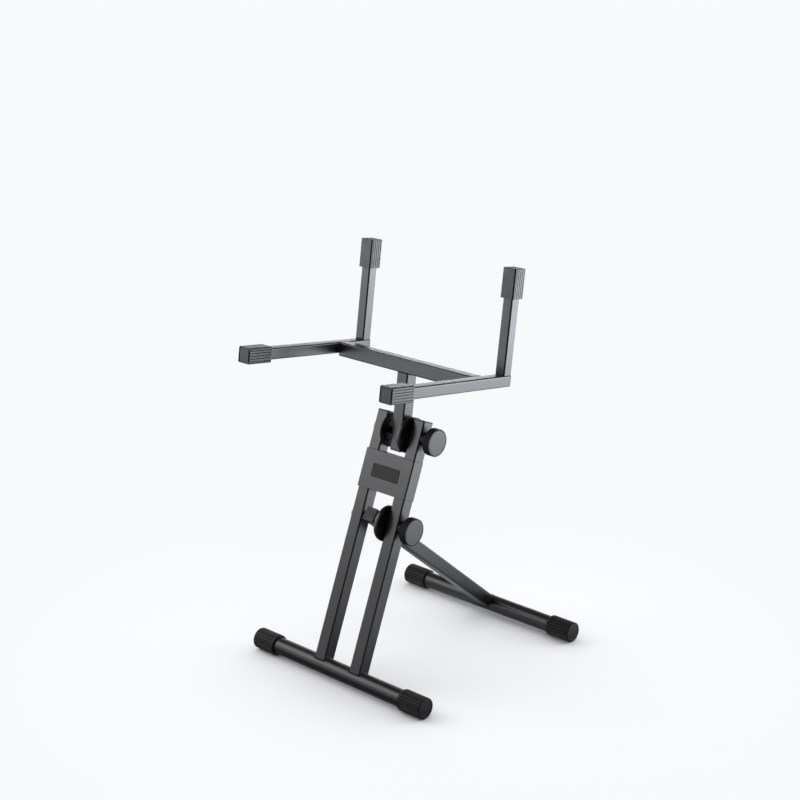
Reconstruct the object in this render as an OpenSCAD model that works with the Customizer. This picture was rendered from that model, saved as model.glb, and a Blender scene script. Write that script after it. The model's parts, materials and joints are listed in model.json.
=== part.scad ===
// Folding stand that tips a load back: two square uprights on a round front foot, a rear
// leg that folds, and a tilting head whose two arms and two back posts hold the load.
// Millimetres. +X is to the right of someone facing the front, +Y to the rear, +Z up.
// The origin is on the floor, under the middle of the whole stand.

/* [Feet] */
// Overall length of each foot, over its rubber caps
foot_len = 422; // [340:1:520]
// Outer diameter of the round foot tubes
foot_tube_d = 32; // [28:0.5:36]
// Wall thickness of the round foot tubes
foot_tube_wall = 1.6; // [1.2:0.1:3]
// Distance between the front and rear foot axes
stance = 419; // [370:1:470]
// Wall of the round rubber caps around the tube
foot_cap_wall = 3.7; // [2.5:0.1:5]
// Length of a round rubber cap
foot_cap_len = 53.5; // [35:0.5:80]
// Thickness of a round cap's closed end
foot_cap_end = 4; // [3:0.5:8]
// Number of grooves round a foot cap
foot_cap_grooves = 24; // [16:1:40]
// Depth of the grooves in the rubber caps
groove_depth = 1; // [0.4:0.1:1.4]
// Width of the grooves in the rubber caps
groove_w = 1.8; // [0.8:0.1:2.2]

/* [Uprights] */
// Outer size of the two square uprights
upright_size = 26; // [22:0.5:30]
// Wall thickness of all square tubes
square_wall = 1.5; // [1.2:0.1:2.5]
// Outside corner radius of all square tubes
corner_r = 2.8; // [1:0.1:4]
// Clear distance between the uprights
upright_gap = 62; // [56:0.5:76]
// Length of the uprights from the foot axis to the top of their plugs
upright_len = 481; // [420:1:540]
// Angle at which the uprights lean to the rear
lean = 21.5; // [15:0.5:26]

/* [Bracket] */
// Distance of the bracket's upper edge below the top of the uprights
bracket_drop = 74; // [70:0.5:78]
// Height of the bracket
bracket_h = 72; // [50:1:76]
// Thickness of the bracket's sheet
bracket_t = 2; // [1:0.1:3]
// Inner radius of the bracket's two bends
bend_in_r = 0.5; // [0.2:0.1:2]
// Distance from the bracket's rear edges to the rear of the uprights
bracket_short = 2.5; // [0:0.5:10]
// Width of the blank plate on the bracket
plate_w = 65; // [40:1:90]
// Height of the blank plate on the bracket
plate_h = 25; // [15:1:40]
// Thickness of the blank plate
plate_t = 0.8; // [0.5:0.1:2]
// Corner radius of the blank plate
plate_r = 1.5; // [0.5:0.1:4]

/* [Pivots] */
// Distance of the leg's pivot below the top of the uprights
lower_drop = 196.5; // [194:0.5:210]
// Distance of the head's pivot below the top of the uprights
upper_drop = 32; // [26:0.5:33]
// Diameter of the pivot bolts
bolt_d = 8; // [6:0.5:10]
// Radial clearance of the bores that turn on the bolts
run_clear = 0.05; // [0.02:0.01:0.1]
// Length of bolt that stands into the knob's rim
bolt_reach = 4; // [2:0.5:8]
// Diameter of the bolt heads
bolt_head_d = 19; // [16:0.5:24]
// Height of the bolt heads
bolt_head_h = 4.5; // [3:0.5:7]
// Outer diameter of the washers
washer_d = 22; // [18:0.5:25]
// Thickness of the washers
washer_t = 1.6; // [1:0.1:2.5]

/* [Clutches] */
// Diameter of the clutch discs
clutch_d = 67.5; // [58:0.5:72]
// Diameter of the hub behind the moving clutch disc
clutch_hub_d = 48; // [40:1:56]
// Length of the hub behind the moving clutch disc
clutch_hub_h = 6; // [3:0.5:8]
// Thickness of the fixed clutch disc
fixed_t = 6.4; // [5:0.1:9]
// Thickness of the fixed clutch disc at its rim
fixed_rim_t = 3.6; // [3:0.1:5]
// Diameter of the flat seat that each disc has on its upright
seat_d = 40; // [32:1:50]
// Gap between the two clutch faces, as when the knob is slack
clutch_gap = 0.3; // [0.1:0.1:0.6]
// Number of clutch teeth
clutch_teeth = 24; // [12:1:36]
// Height of the clutch teeth
tooth_h = 1.3; // [0.8:0.1:1.6]
// Inner diameter of the toothed ring
tooth_in_d = 33; // [32:1:40]
// Plain rim outside the toothed ring
tooth_rim = 3.5; // [2:0.5:6]
// Diameter of the pocket for the clutch spring
spring_pocket_d = 16; // [15:0.5:17]
// Depth of that pocket in each clutch disc
spring_pocket_h = 3; // [2:0.1:3.5]
// Wire diameter of the clutch spring
spring_wire_d = 1; // [0.8:0.1:1.2]
// Number of curls in the clutch spring
spring_curls = 3; // [2:0.5:3.5]
// Diameter of the clutch screws and the locating pegs
screw_d = 4; // [3:0.5:5]
// Diameter of the clutch screws' heads
screw_head_d = 7; // [6:0.5:8]
// Height of the clutch screws' heads
screw_head_h = 2.2; // [1.5:0.1:3]
// Distance of the screws and pegs from the pivot
screw_off = 12.2; // [11.5:0.1:13]
// Length of the clutch screws inside the tube
screw_end = 2; // [1:0.5:4]
// Depth of the clutch screws' heads below the clutch face
screw_sink = 0.3; // [0.1:0.1:0.6]
// Length of the locating pegs
peg_h = 3; // [1.5:0.5:6]
// Diameter of the plain disc left of the neck
side_disc_d = 63; // [56:0.5:70]
// Thickness of that disc
side_disc_t = 10.5; // [8:0.5:11]
// Thickness of that disc at its rim
side_disc_rim_t = 3.6; // [3:0.1:5]
// Depth of the dish in that disc
side_disc_dish = 3.5; // [2:0.5:5]
// Number of ribs in that dish
side_disc_ribs = 12; // [6:1:18]
// Diameter of that disc's centre boss
side_disc_boss_d = 12; // [12:1:28]
// Outer diameter of the bush left of the leg
bush_d = 20; // [14:1:24]
// Outer diameter of the sleeve left of the neck
sleeve_d = 11; // [10:0.5:18]
// Side clearance of turning parts
side_gap = 0.2; // [0.1:0.05:0.3]

/* [Knobs] */
// Diameter of the knobs
knob_d = 50.6; // [40:0.1:60]
// Thickness of a knob's rim
knob_rim_h = 14; // [10:0.5:18]
// Distance from the upright to the knob's rim
knob_standoff = 16.2; // [14:0.1:24]
// Diameter of a knob's hub
knob_hub_d = 26; // [22:0.5:32]
// Number of flutes round a knob
knob_flutes = 36; // [24:1:44]
// Radius of those flutes
flute_r = 1.1; // [0.8:0.1:1.4]
// Plain lip on each side of the flutes
knob_lip = 1.8; // [1:0.1:3]
// Chamfer at both edges of a knob
knob_chamfer = 1; // [0.5:0.1:1.5]
// Plain edge round the knob's face disc
face_edge = 1.2; // [0.8:0.1:3]
// Thickness of the knob's face disc
face_t = 1.8; // [1:0.1:3]
// Height that the face disc stands proud of the knob
face_proud = 0.4; // [0.2:0.1:1]
// Width of the threaded insert across its flats
insert_flats = 13; // [12:0.5:16]
// Length of the threaded insert
insert_h = 9; // [6:0.5:12]

/* [Leg] */
// Outer size of the square leg
leg_size = 26; // [20:0.5:28]
// Length of leg ahead of its pivot
leg_front = 29; // [27:0.5:32]

/* [Head] */
// Outer size of the square neck
neck_size = 26; // [20:0.5:28]
// Length of neck below its pivot
neck_below = 33; // [27:0.5:34]
// Height of the resting plane above the head's pivot, along the neck
head_rise = 141; // [125:1:180]
// Angle at which the head leans to the rear
tilt = 8; // [0:0.5:15]
// Outer size of the square crossbar
cross_size = 26; // [20:0.5:28]
// Outer size of the square arms and back posts
arm_size = 21; // [16:0.5:24]
// Distance between the centre lines of the arms
arm_spread = 342; // [260:1:400]
// Distance from the neck's centre line to the front of the arm caps
arm_front = 241.5; // [200:0.5:280]
// Distance from the neck's centre line to the front of the back posts
arm_back = 49; // [35:1:110]
// Height of the back posts above the resting plane, over their caps
post_h = 185; // [120:1:260]
// Wall of the square rubber caps around the tube
rest_cap_wall = 4; // [2.5:0.1:5]
// Length of a square rubber cap
rest_cap_len = 53; // [35:0.5:80]
// Thickness of a square cap's closed end
rest_cap_end = 4; // [3:0.5:8]
// Number of grooves in each grooved side of a square cap
rest_cap_grooves = 5; // [3:1:7]

/* [Plugs and welds] */
// Thickness of the tube plugs' heads
plug_head = 2; // [1:0.1:4]
// Length of the tube plugs' stems
plug_stem = 10; // [6:0.5:11]
// Clearance of the plugs' stems in their tubes
plug_clear = 0.1; // [0.05:0.05:0.3]
// Radius of the weld beads
weld_r = 2; // [1.2:0.1:3]

/* [Hidden] */
$fn = 64;

// Colours
steel_paint = "#5c5d60";
rubber = "#2b2b2d";
gloss_black = "#0d0d0f";
knob_grey = "#77787c";
zinc = "#b4b5b8";
brass = "#b59a55";

// Clearance of parts that are pushed together
fit_clear = 0.05;
// How far a shape reaches into the one it joins, and a cut past what it cuts
join = 0.1;
cut = 1;
// Smallest inside radius of a square tube, and of the hollow in a plug
tube_in_r = max(corner_r - square_wall, 0.3);
plug_in_r = 0.5;

// Feet
cap_land = 0.4;
foot_cap_d = foot_tube_d + 2 * foot_cap_wall;
foot_z = foot_cap_d / 2;
foot_tube_len = foot_len - 2 * foot_cap_end;
cap_round = min(foot_cap_wall, foot_cap_end) - cap_land;

// Places across the stand, from its middle plane
upright_in = upright_gap / 2;
upright_x = upright_in + upright_size / 2;
upright_out = upright_in + upright_size;
arm_x = arm_spread / 2;
knob_x = upright_out + knob_standoff;

// Places along the uprights, from the front foot's axis
lower_pivot = upright_len - lower_drop;
upper_pivot = upright_len - upper_drop;
bracket_start = upright_len - bracket_drop - bracket_h;

// Pivots and the leg, seen from the side
lower_y = lower_pivot * sin(lean);
lower_z = foot_z + lower_pivot * cos(lean);
upper_y = upper_pivot * sin(lean);
leg_len = norm([stance - lower_y, lower_z - foot_z]);
leg_drop = atan2(lower_z - foot_z, stance - lower_y);

// Heights in the head's own frame, along the neck
arm_top = head_rise - rest_cap_wall;
arm_z = arm_top - arm_size / 2;
cross_z = arm_top - cross_size / 2;
neck_top = arm_top - cross_size;
rest_cap_size = arm_size + 2 * rest_cap_wall;
post_y = arm_back + arm_size / 2;
arm_end = arm_back + arm_size;

// Middle of the stand from front to rear, measured from the front foot's axis
front_y = min(-foot_cap_d / 2,
    upper_y - arm_front * cos(tilt) + (head_rise - rest_cap_size) * sin(tilt));
post_far = arm_end + rest_cap_wall;
rear_y = max(stance + foot_cap_d / 2,
    upper_y + post_far * cos(tilt) + (head_rise + post_h) * sin(tilt));
mid_y = (front_y + rear_y) / 2;

// Teeth: the share of the pitch that one takes, and the room under and at the ends of them
tooth_share = 0.8;
tooth_clear = 0.2;
tooth_end = 0.3;

// Clutch discs: outward from the moving tube's side to the upright's inner face
fixed_in = upright_in - fixed_t;
moving_out = fixed_in - clutch_gap;
tooth_floor = tooth_h + tooth_clear;
tooth_out_d = clutch_d - 2 * tooth_rim;
bore_r = bolt_d / 2 + run_clear;
spring_r = spring_pocket_d / 2 - spring_wire_d;
spring_room = 2 * spring_pocket_h + clutch_gap;
spring_slack = 0.1;
wire_sides = 6;
rings_per_curl = 8;

// Distance of the flutes' centres outside a knob's rim, as a share of their radius
flute_out = 0.4;
// Clearance round the bolt's end in a knob, and round the clutch screws' heads
knob_clear = 0.3;
head_clear = 0.2;
// Share of the dish's depth that its ribs fill
rib_share = 0.3;

// ---------------------------------------------------------------- frames

module in_place() translate([0, -mid_y, 0]) children();

// Children as drawn for side 1, and their mirror image for side -1
module sided_x(side) mirror([side < 0 ? 1 : 0, 0, 0]) children();
module sided_y(side) mirror([0, side < 0 ? 1 : 0, 0]) children();

// Foot frame: the foot's axis along X
module at_foot(y) in_place() translate([0, y, foot_z]) children();

// Upright frame: Z up along the uprights, -Y out of their front
module on_uprights(h = 0) at_foot(0) rotate([-lean, 0, 0]) translate([0, 0, h]) children();

// Leg frame: Z along the leg, up towards and past its pivot; +Y out of its upper side
module on_leg() in_place() translate([0, lower_y, lower_z]) rotate([90 - leg_drop, 0, 0]) children();

// Head frame: Z up along the neck from its pivot, -Y towards the front
module on_head() on_uprights(upper_pivot) rotate([lean - tilt, 0, 0]) children();

// ---------------------------------------------------------------- shapes

// A round rod along X from x0 to x1
module x_rod(r, x0, x1) translate([x0, 0, 0]) rotate([0, 90, 0]) cylinder(r = r, h = x1 - x0);

// A profile of [radius, x] points, turned about X
module x_turned(points) rotate([0, 90, 0]) rotate_extrude() polygon(points);

module rounded_square(size, r) {
    square([size, size - 2 * r], center = true);
    square([size - 2 * r, size], center = true);
    for (x = [-1, 1], y = [-1, 1])
        translate([x, y] * (size / 2 - r)) circle(r);
}

// Square tube along Z
module square_tube(size, z0, z1) {
    translate([0, 0, z0]) linear_extrude(z1 - z0) difference() {
        rounded_square(size, corner_r);
        rounded_square(size - 2 * square_wall, tube_in_r);
    }
}

// Plug that closes a square tube: its head stands on z = 0, its stem hangs below
module square_plug(size) {
    stem = size - 2 * square_wall - 2 * plug_clear;
    linear_extrude(plug_head) rounded_square(size, corner_r);
    difference() {
        translate([0, 0, -plug_stem]) linear_extrude(plug_stem) rounded_square(stem, tube_in_r);
        translate([0, 0, -plug_stem - cut]) linear_extrude(plug_stem)
            rounded_square(stem - 2 * square_wall, plug_in_r);
    }
}

// Quarter-round weld bead of a given length along X, in the corner of +Y and +Z
module bead(len) {
    intersection() {
        x_rod(weld_r, -len / 2, len / 2);
        translate([-len / 2, 0, 0]) cube([len, weld_r, weld_r]);
    }
}

// Round grooved cap along Z: closed end at z = 0, mouth at the top
module round_cap() {
    r = foot_cap_d / 2;
    difference() {
        union() {
            rotate_extrude() {
                square([r - cap_round, cap_round]);
                translate([0, cap_round]) square([r, foot_cap_end - cap_round + cut]);
                translate([r - cap_round, cap_round]) circle(cap_round);
            }
            translate([0, 0, foot_cap_end + cut]) linear_extrude(foot_cap_len - foot_cap_end - cut)
                difference() {
                    circle(r);
                    for (i = [0 : foot_cap_grooves - 1])
                        rotate(i * 360 / foot_cap_grooves) translate([r - groove_depth, -groove_w / 2])
                            square([groove_depth + cut, groove_w]);
                }
        }
        translate([0, 0, foot_cap_end]) cylinder(d = foot_tube_d + 2 * fit_clear, h = foot_cap_len);
    }
}

// Square cap along Z: closed end at z = 0, mouth at the top, grooves in its two X sides
module square_cap() {
    size = rest_cap_size;
    pitch = size / (rest_cap_grooves + 1);
    difference() {
        linear_extrude(rest_cap_len) difference() {
            rounded_square(size, corner_r);
            for (side = [-1, 1], i = [1 : rest_cap_grooves])
                translate([side * size / 2, i * pitch - size / 2])
                    square([2 * groove_depth, groove_w], center = true);
        }
        translate([0, 0, rest_cap_end]) linear_extrude(rest_cap_len)
            rounded_square(arm_size, corner_r);
        for (i = [1 : rest_cap_grooves])
            translate([i * pitch - size / 2, 0, 0])
                cube([groove_w, size - 2 * pitch, groove_depth], center = true);
    }
}

// Ring of clutch teeth standing on z = 0
module teeth() {
    tooth_w = PI * tooth_in_d / clutch_teeth * tooth_share;
    len = (tooth_out_d - tooth_in_d) / 2 - 2 * tooth_end;
    for (i = [0 : clutch_teeth - 1])
        rotate(i * 360 / clutch_teeth) translate([tooth_in_d / 2 + tooth_end, 0, 0])
            rotate([90, 0, 90]) linear_extrude(len)
                polygon([[-tooth_w / 2, -join], [tooth_w / 2, -join], [0, tooth_h]]);
}

// Toothed face along Z, cut down from z = 0 into the disc that is passed in
module toothed_face() {
    difference() {
        children();
        translate([0, 0, -tooth_floor]) difference() {
            cylinder(d = tooth_out_d, h = tooth_floor + cut);
            translate([0, 0, -cut]) cylinder(d = tooth_in_d, h = tooth_floor + 3 * cut);
        }
        translate([0, 0, -spring_pocket_h]) cylinder(d = spring_pocket_d, h = spring_pocket_h + cut);
    }
    translate([0, 0, -tooth_floor]) teeth();
}

// Clutch disc that turns with the leg or neck, whose right side lies at x = from
module moving_clutch(from) {
    thick = moving_out - from;
    translate([moving_out, 0, 0]) rotate([0, 90, 0]) difference() {
        toothed_face() translate([0, 0, -thick]) {
            cylinder(d = clutch_hub_d, h = clutch_hub_h + cut);
            translate([0, 0, clutch_hub_h]) cylinder(d = clutch_d, h = thick - clutch_hub_h);
        }
        translate([0, 0, -thick - cut]) cylinder(r = bore_r, h = thick + 2 * cut);
        for (side = [-1, 1]) translate([side * screw_off, 0, 0]) {
            translate([0, 0, -thick - cut]) cylinder(d = screw_d + 2 * fit_clear, h = thick + 2 * cut);
            translate([0, 0, -screw_head_h - screw_sink])
                cylinder(d = screw_head_d + 2 * head_clear, h = 2 * screw_head_h);
        }
    }
}

// Clutch disc that stays on the right upright
module fixed_clutch() {
    translate([fixed_in, 0, 0]) rotate([0, 90, 0]) difference() {
        union() {
            mirror([0, 0, 1]) toothed_face() mirror([0, 0, 1]) rotate_extrude() polygon([
                [0, 0], [clutch_d / 2, 0], [clutch_d / 2, fixed_rim_t],
                [seat_d / 2, fixed_t], [0, fixed_t]]);
            for (side = [-1, 1]) translate([side * screw_off, 0, fixed_t - cut])
                cylinder(d = screw_d, h = peg_h + cut);
        }
        translate([0, 0, -cut]) cylinder(r = bore_r, h = fixed_t + 2 * cut);
    }
}

// The two screws that hold a moving clutch disc to its tube
module clutch_screws(from) {
    head_x = moving_out - screw_head_h - screw_sink;
    for (side = [-1, 1]) translate([0, 0, side * screw_off]) {
        x_rod(screw_head_d / 2, head_x, head_x + screw_head_h);
        x_rod(screw_d / 2, from - square_wall - screw_end, head_x + join);
    }
}

// Compression spring round the bolt, wound from wire by a helix
function wire_point(turn, side, h) =
    let (a = 360 * turn, b = 360 * side / wire_sides,
         r = spring_r + spring_wire_d / 2 * cos(b))
    [spring_wire_d / 2 + h * turn / spring_curls + spring_wire_d / 2 * sin(b), r * cos(a), r * sin(a)];
spring_h = spring_room - spring_wire_d - spring_slack - side_gap;
spring_rings = spring_curls * rings_per_curl;
spring_gap = spring_h / spring_curls - spring_wire_d;
echo(str("least gap between the spring's curls: ", spring_gap));

module clutch_spring() {
    points = [for (i = [0 : spring_rings], s = [0 : wire_sides - 1])
        wire_point(i / rings_per_curl, s, spring_h)];
    last = spring_rings * wire_sides;
    sides = [for (i = [0 : spring_rings - 1], s = [0 : wire_sides - 1])
        let (a = i * wire_sides + s, b = i * wire_sides + (s + 1) % wire_sides)
        each [[a, b, a + wire_sides], [b, b + wire_sides, a + wire_sides]]];
    ends = [for (s = [1 : wire_sides - 2])
        each [[0, s + 1, s], [last, last + s, last + s + 1]]];
    translate([moving_out - spring_pocket_h + side_gap, 0, 0]) polyhedron(points, concat(sides, ends));
}

// Pivot bolt along X, from its head left of the uprights into the knob
module pivot_bolt() {
    seat = -upright_out - washer_t;
    // Outline of the head, as shares of its radius and height
    dome = [[1, 0], [1, 0.35], [0.72, 0.85], [0.4, 1]];
    x_rod(bolt_d / 2, seat - join, knob_x + bolt_reach);
    x_turned(concat([[0, seat]],
        [for (p = dome) [p[0] * bolt_head_d / 2, seat - p[1] * bolt_head_h]],
        [[0, seat - bolt_head_h]]));
}

module washer(x0) {
    difference() {
        x_rod(washer_d / 2, x0, x0 + washer_t);
        x_rod(bore_r, x0 - cut, x0 + washer_t + cut);
    }
}

// Clamping knob along X: a hub against the washer and a fluted rim
module knob_body() {
    back = upright_out + washer_t + side_gap;
    front = knob_x + knob_rim_h;
    r = knob_d / 2;
    edge = r - knob_chamfer;
    difference() {
        union() {
            x_rod(knob_hub_d / 2, back, knob_x + cut);
            x_turned([[0, knob_x], [edge, knob_x], [r, knob_x + knob_chamfer],
                [r, knob_x + knob_lip], [0, knob_x + knob_lip]]);
            translate([knob_x + knob_lip, 0, 0]) rotate([0, 90, 0])
                linear_extrude(knob_rim_h - 2 * knob_lip) difference() {
                    circle(r);
                    for (i = [0 : knob_flutes - 1])
                        rotate(i * 360 / knob_flutes) translate([r + flute_r * flute_out, 0])
                            circle(flute_r, $fn = 24);
                }
            x_turned([[0, front - knob_lip], [r, front - knob_lip], [r, front - knob_chamfer],
                [edge, front], [0, front]]);
        }
        x_rod(edge - face_edge, front - face_t + face_proud, front + cut);
        x_rod(bore_r + knob_clear, back - cut, knob_x + bolt_reach + cut);
        translate([back - cut, 0, 0]) rotate([0, 90, 0])
            cylinder(d = (insert_flats + 2 * fit_clear) / cos(30), h = insert_h + cut, $fn = 6);
    }
}

module knob_face() {
    front = knob_x + knob_rim_h;
    back = front + face_proud - face_t;
    r = knob_d / 2 - knob_chamfer - face_edge - fit_clear;
    x_turned([[0, back], [r, back], [r, front], [r - face_proud, front + face_proud],
        [0, front + face_proud]]);
}

module knob_insert() {
    back = upright_out + washer_t + side_gap;
    difference() {
        translate([back, 0, 0]) rotate([0, 90, 0])
            cylinder(d = insert_flats / cos(30), h = insert_h, $fn = 6);
        x_rod(bore_r, back - cut, back + insert_h + cut);
    }
}

// ---------------------------------------------------------------- feet

module foot_tube() {
    color(steel_paint) difference() {
        x_rod(foot_tube_d / 2, -foot_tube_len / 2, foot_tube_len / 2);
        x_rod(foot_tube_d / 2 - foot_tube_wall, -foot_len, foot_len);
    }
}

module foot_cap(side) {
    color(rubber) translate([side * foot_len / 2, 0, 0]) rotate([0, -side * 90, 0]) round_cap();
}

module front_foot_tube() at_foot(0) foot_tube();
module front_left_cap() at_foot(0) foot_cap(-1);
module front_right_cap() at_foot(0) foot_cap(1);
module rear_foot_tube() at_foot(stance) foot_tube();
module rear_left_cap() at_foot(stance) foot_cap(-1);
module rear_right_cap() at_foot(stance) foot_cap(1);

// ---------------------------------------------------------------- uprights

module upright(side) {
    top = upright_len - plug_head;
    color(steel_paint) difference() {
        on_uprights() translate([side * upright_x, 0, 0]) square_tube(upright_size, 0, top);
        at_foot(0) x_rod(foot_tube_d / 2, -foot_len, foot_len);
        for (h = [lower_pivot, upper_pivot])
            on_uprights(h) x_rod(bore_r, -upright_out - cut, upright_out + cut);
        // Holes for the pegs of the clutch discs
        for (h = side > 0 ? [lower_pivot, upper_pivot] : [upper_pivot], off = [-1, 1])
            on_uprights(h + off * screw_off) translate([side * (upright_in + square_wall / 2), 0, 0])
                x_rod(screw_d / 2 + fit_clear, -square_wall, square_wall);
    }
}

module upright_plug(side) {
    color(gloss_black) on_uprights(upright_len - plug_head) translate([side * upright_x, 0, 0])
        square_plug(upright_size);
}

module left_upright() upright(-1);
module right_upright() upright(1);
module left_upright_plug() upright_plug(-1);
module right_upright_plug() upright_plug(1);

// Beads in the corners where a square tube meets a foot tube, in the square tube's frame
module foot_bead(size) {
    reach = sqrt(pow(foot_tube_d / 2, 2) - pow(size / 2, 2));
    for (face = [-1, 1]) sided_y(face) difference() {
        translate([0, size / 2, reach]) x_rod(weld_r, -size / 2 + corner_r, size / 2 - corner_r);
        translate([-size, -size / 2, -size]) cube([2 * size, size, 3 * size]);
        x_rod(foot_tube_d / 2, -size, size);
    }
}

module foot_welds() {
    color(steel_paint) for (side = [-1, 1])
        on_uprights() translate([side * upright_x, 0, 0]) foot_bead(upright_size);
}

// Channel of sheet steel round the front and the outer sides of the uprights
module bracket() {
    front = upright_size / 2 + bracket_t;
    wide = upright_out + bracket_t;
    bend = bracket_t + bend_in_r;
    color(steel_paint) on_uprights(bracket_start) linear_extrude(bracket_h) difference() {
        union() {
            translate([-wide, bend - front])
                square([2 * wide, upright_size + bracket_t - bend - bracket_short]);
            translate([bend - wide, -front]) square([2 * (wide - bend), front]);
            for (side = [-1, 1]) translate([side * (wide - bend), bend - front]) circle(bend);
        }
        translate([-upright_out, -upright_size / 2]) square([2 * upright_out, upright_size + cut]);
    }
}

module blank_plate() {
    color(gloss_black) on_uprights(bracket_start + bracket_h / 2)
        translate([0, -upright_size / 2 - bracket_t, 0]) rotate([90, 0, 0]) linear_extrude(plate_t) {
            square([plate_w, plate_h - 2 * plate_r], center = true);
            square([plate_w - 2 * plate_r, plate_h], center = true);
            for (x = [-1, 1], y = [-1, 1])
                translate([x * (plate_w / 2 - plate_r), y * (plate_h / 2 - plate_r)]) circle(plate_r);
        }
}

// ---------------------------------------------------------------- pivots

module lower_bolt() color(zinc) on_uprights(lower_pivot) pivot_bolt();
module upper_bolt() color(zinc) on_uprights(upper_pivot) pivot_bolt();

module head_washers() {
    color(zinc) for (h = [lower_pivot, upper_pivot])
        on_uprights(h) washer(-upright_out - washer_t);
}

module knob_washers() {
    color(zinc) for (h = [lower_pivot, upper_pivot])
        on_uprights(h) washer(upright_out);
}

// Spacer round the bolt, from x0 to the turning tube on its right
module spacer(d, x0, x1) {
    difference() {
        x_rod(d / 2, x0, x1);
        x_rod(bore_r, x0 - cut, x1 + cut);
    }
}

module lower_bush() {
    color(gloss_black) on_uprights(lower_pivot)
        spacer(bush_d, -upright_in, -leg_size / 2 - side_gap);
}

module upper_sleeve() {
    color(gloss_black) on_uprights(upper_pivot)
        spacer(sleeve_d, -upright_in + side_disc_t, -neck_size / 2 - side_gap);
}

// Disc between the left upright and the neck: cone-shaped outside, dished and ribbed inside
module upper_side_disc() {
    r = side_disc_d / 2;
    face = side_disc_t - side_disc_dish;
    boss_r = side_disc_boss_d / 2;
    color(gloss_black) on_uprights(upper_pivot) translate([-upright_in, 0, 0]) rotate([0, 90, 0])
        difference() {
            union() {
                rotate_extrude() polygon([
                    [0, 0], [seat_d / 2, 0], [r, side_disc_t - side_disc_rim_t], [r, side_disc_t],
                    [r - tooth_rim, side_disc_t], [r - tooth_rim, face], [0, face]]);
                cylinder(r = boss_r, h = side_disc_t);
                for (i = [0 : side_disc_ribs - 1]) rotate(i * 360 / side_disc_ribs)
                    translate([boss_r - cut, -groove_w / 2, face - join])
                        cube([r - tooth_rim - boss_r + 2 * cut, groove_w, side_disc_dish * rib_share]);
                for (side = [-1, 1]) translate([side * screw_off, 0, -peg_h])
                    cylinder(d = screw_d, h = peg_h + cut);
            }
            translate([0, 0, -cut]) cylinder(r = bore_r, h = side_disc_t + 2 * cut);
        }
}

module lower_fixed_clutch() color(gloss_black) on_uprights(lower_pivot) fixed_clutch();
module upper_fixed_clutch() color(gloss_black) on_uprights(upper_pivot) fixed_clutch();
module lower_clutch_spring() color(zinc) on_uprights(lower_pivot) clutch_spring();
module upper_clutch_spring() color(zinc) on_uprights(upper_pivot) clutch_spring();

// ---------------------------------------------------------------- leg

// Holes through a turning tube for its bolt and its clutch screws
module pivot_holes(size) {
    x_rod(bore_r, -size, size);
    for (side = [-1, 1]) translate([0, 0, side * screw_off])
        x_rod(screw_d / 2 + fit_clear, size / 2 - square_wall - cut, size);
}

module leg_tube() {
    color(steel_paint) difference() {
        on_leg() difference() {
            square_tube(leg_size, -leg_len, leg_front - plug_head);
            pivot_holes(leg_size);
        }
        at_foot(stance) x_rod(foot_tube_d / 2, -foot_len, foot_len);
    }
}

module leg_plug() {
    color(gloss_black) on_leg() translate([0, 0, leg_front - plug_head]) square_plug(leg_size);
}
module leg_welds() color(steel_paint) on_leg() translate([0, 0, -leg_len]) foot_bead(leg_size);
module lower_moving_clutch() color(steel_paint) on_leg() moving_clutch(leg_size / 2);
module lower_clutch_screws() color(zinc) on_leg() clutch_screws(leg_size / 2);

// ---------------------------------------------------------------- head

module neck_tube() {
    color(steel_paint) on_head() difference() {
        square_tube(neck_size, plug_head - neck_below, neck_top);
        pivot_holes(neck_size);
    }
}

module neck_plug() {
    color(gloss_black) on_head() translate([0, 0, plug_head - neck_below]) mirror([0, 0, 1])
        square_plug(neck_size);
}

module upper_moving_clutch() color(steel_paint) on_head() moving_clutch(neck_size / 2);
module upper_clutch_screws() color(zinc) on_head() clutch_screws(neck_size / 2);

module crossbar() {
    color(steel_paint) on_head() translate([0, 0, cross_z]) rotate([0, 90, 0])
        square_tube(cross_size, arm_size / 2 - arm_x, arm_x - arm_size / 2);
}

module arm(side) {
    color(steel_paint) on_head() translate([side * arm_x, 0, arm_z]) rotate([-90, 0, 0])
        square_tube(arm_size, rest_cap_end - arm_front, arm_end - plug_head);
}

module arm_cap(side) {
    color(rubber) on_head() translate([side * arm_x, -arm_front, arm_z]) rotate([-90, 0, 0]) square_cap();
}

module arm_plug(side) {
    color(gloss_black) on_head() translate([side * arm_x, arm_end - plug_head, arm_z])
        rotate([-90, 0, 0]) square_plug(arm_size);
}

module post(side) {
    color(steel_paint) on_head() translate([side * arm_x, post_y, 0])
        square_tube(arm_size, arm_top, head_rise + post_h - rest_cap_end);
}

module post_cap(side) {
    color(rubber) on_head() translate([side * arm_x, post_y, head_rise + post_h]) mirror([0, 0, 1])
        square_cap();
}

module left_arm() arm(-1);
module right_arm() arm(1);
module left_arm_cap() arm_cap(-1);
module right_arm_cap() arm_cap(1);
module left_arm_plug() arm_plug(-1);
module right_arm_plug() arm_plug(1);
module left_post() post(-1);
module right_post() post(1);
module left_post_cap() post_cap(-1);
module right_post_cap() post_cap(1);

// Beads at the neck, at both ends of the crossbar and at the posts
module head_welds() {
    flat = 2 * corner_r;
    color(steel_paint) on_head() {
        for (turn = [90, -90]) translate([0, 0, neck_top]) rotate([0, 0, turn])
            translate([0, -neck_size / 2, 0]) rotate([180, 0, 0]) bead(neck_size - flat);
        for (side = [-1, 1], face = [-1, 1]) sided_x(side) sided_y(face)
            translate([arm_x - arm_size / 2, cross_size / 2, arm_z]) rotate([0, -90, 0])
                bead(arm_size - flat);
        for (side = [-1, 1])
            translate([side * arm_x, arm_back, arm_top]) sided_y(-1) bead(arm_size - flat);
    }
}

// ---------------------------------------------------------------- knobs

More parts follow.
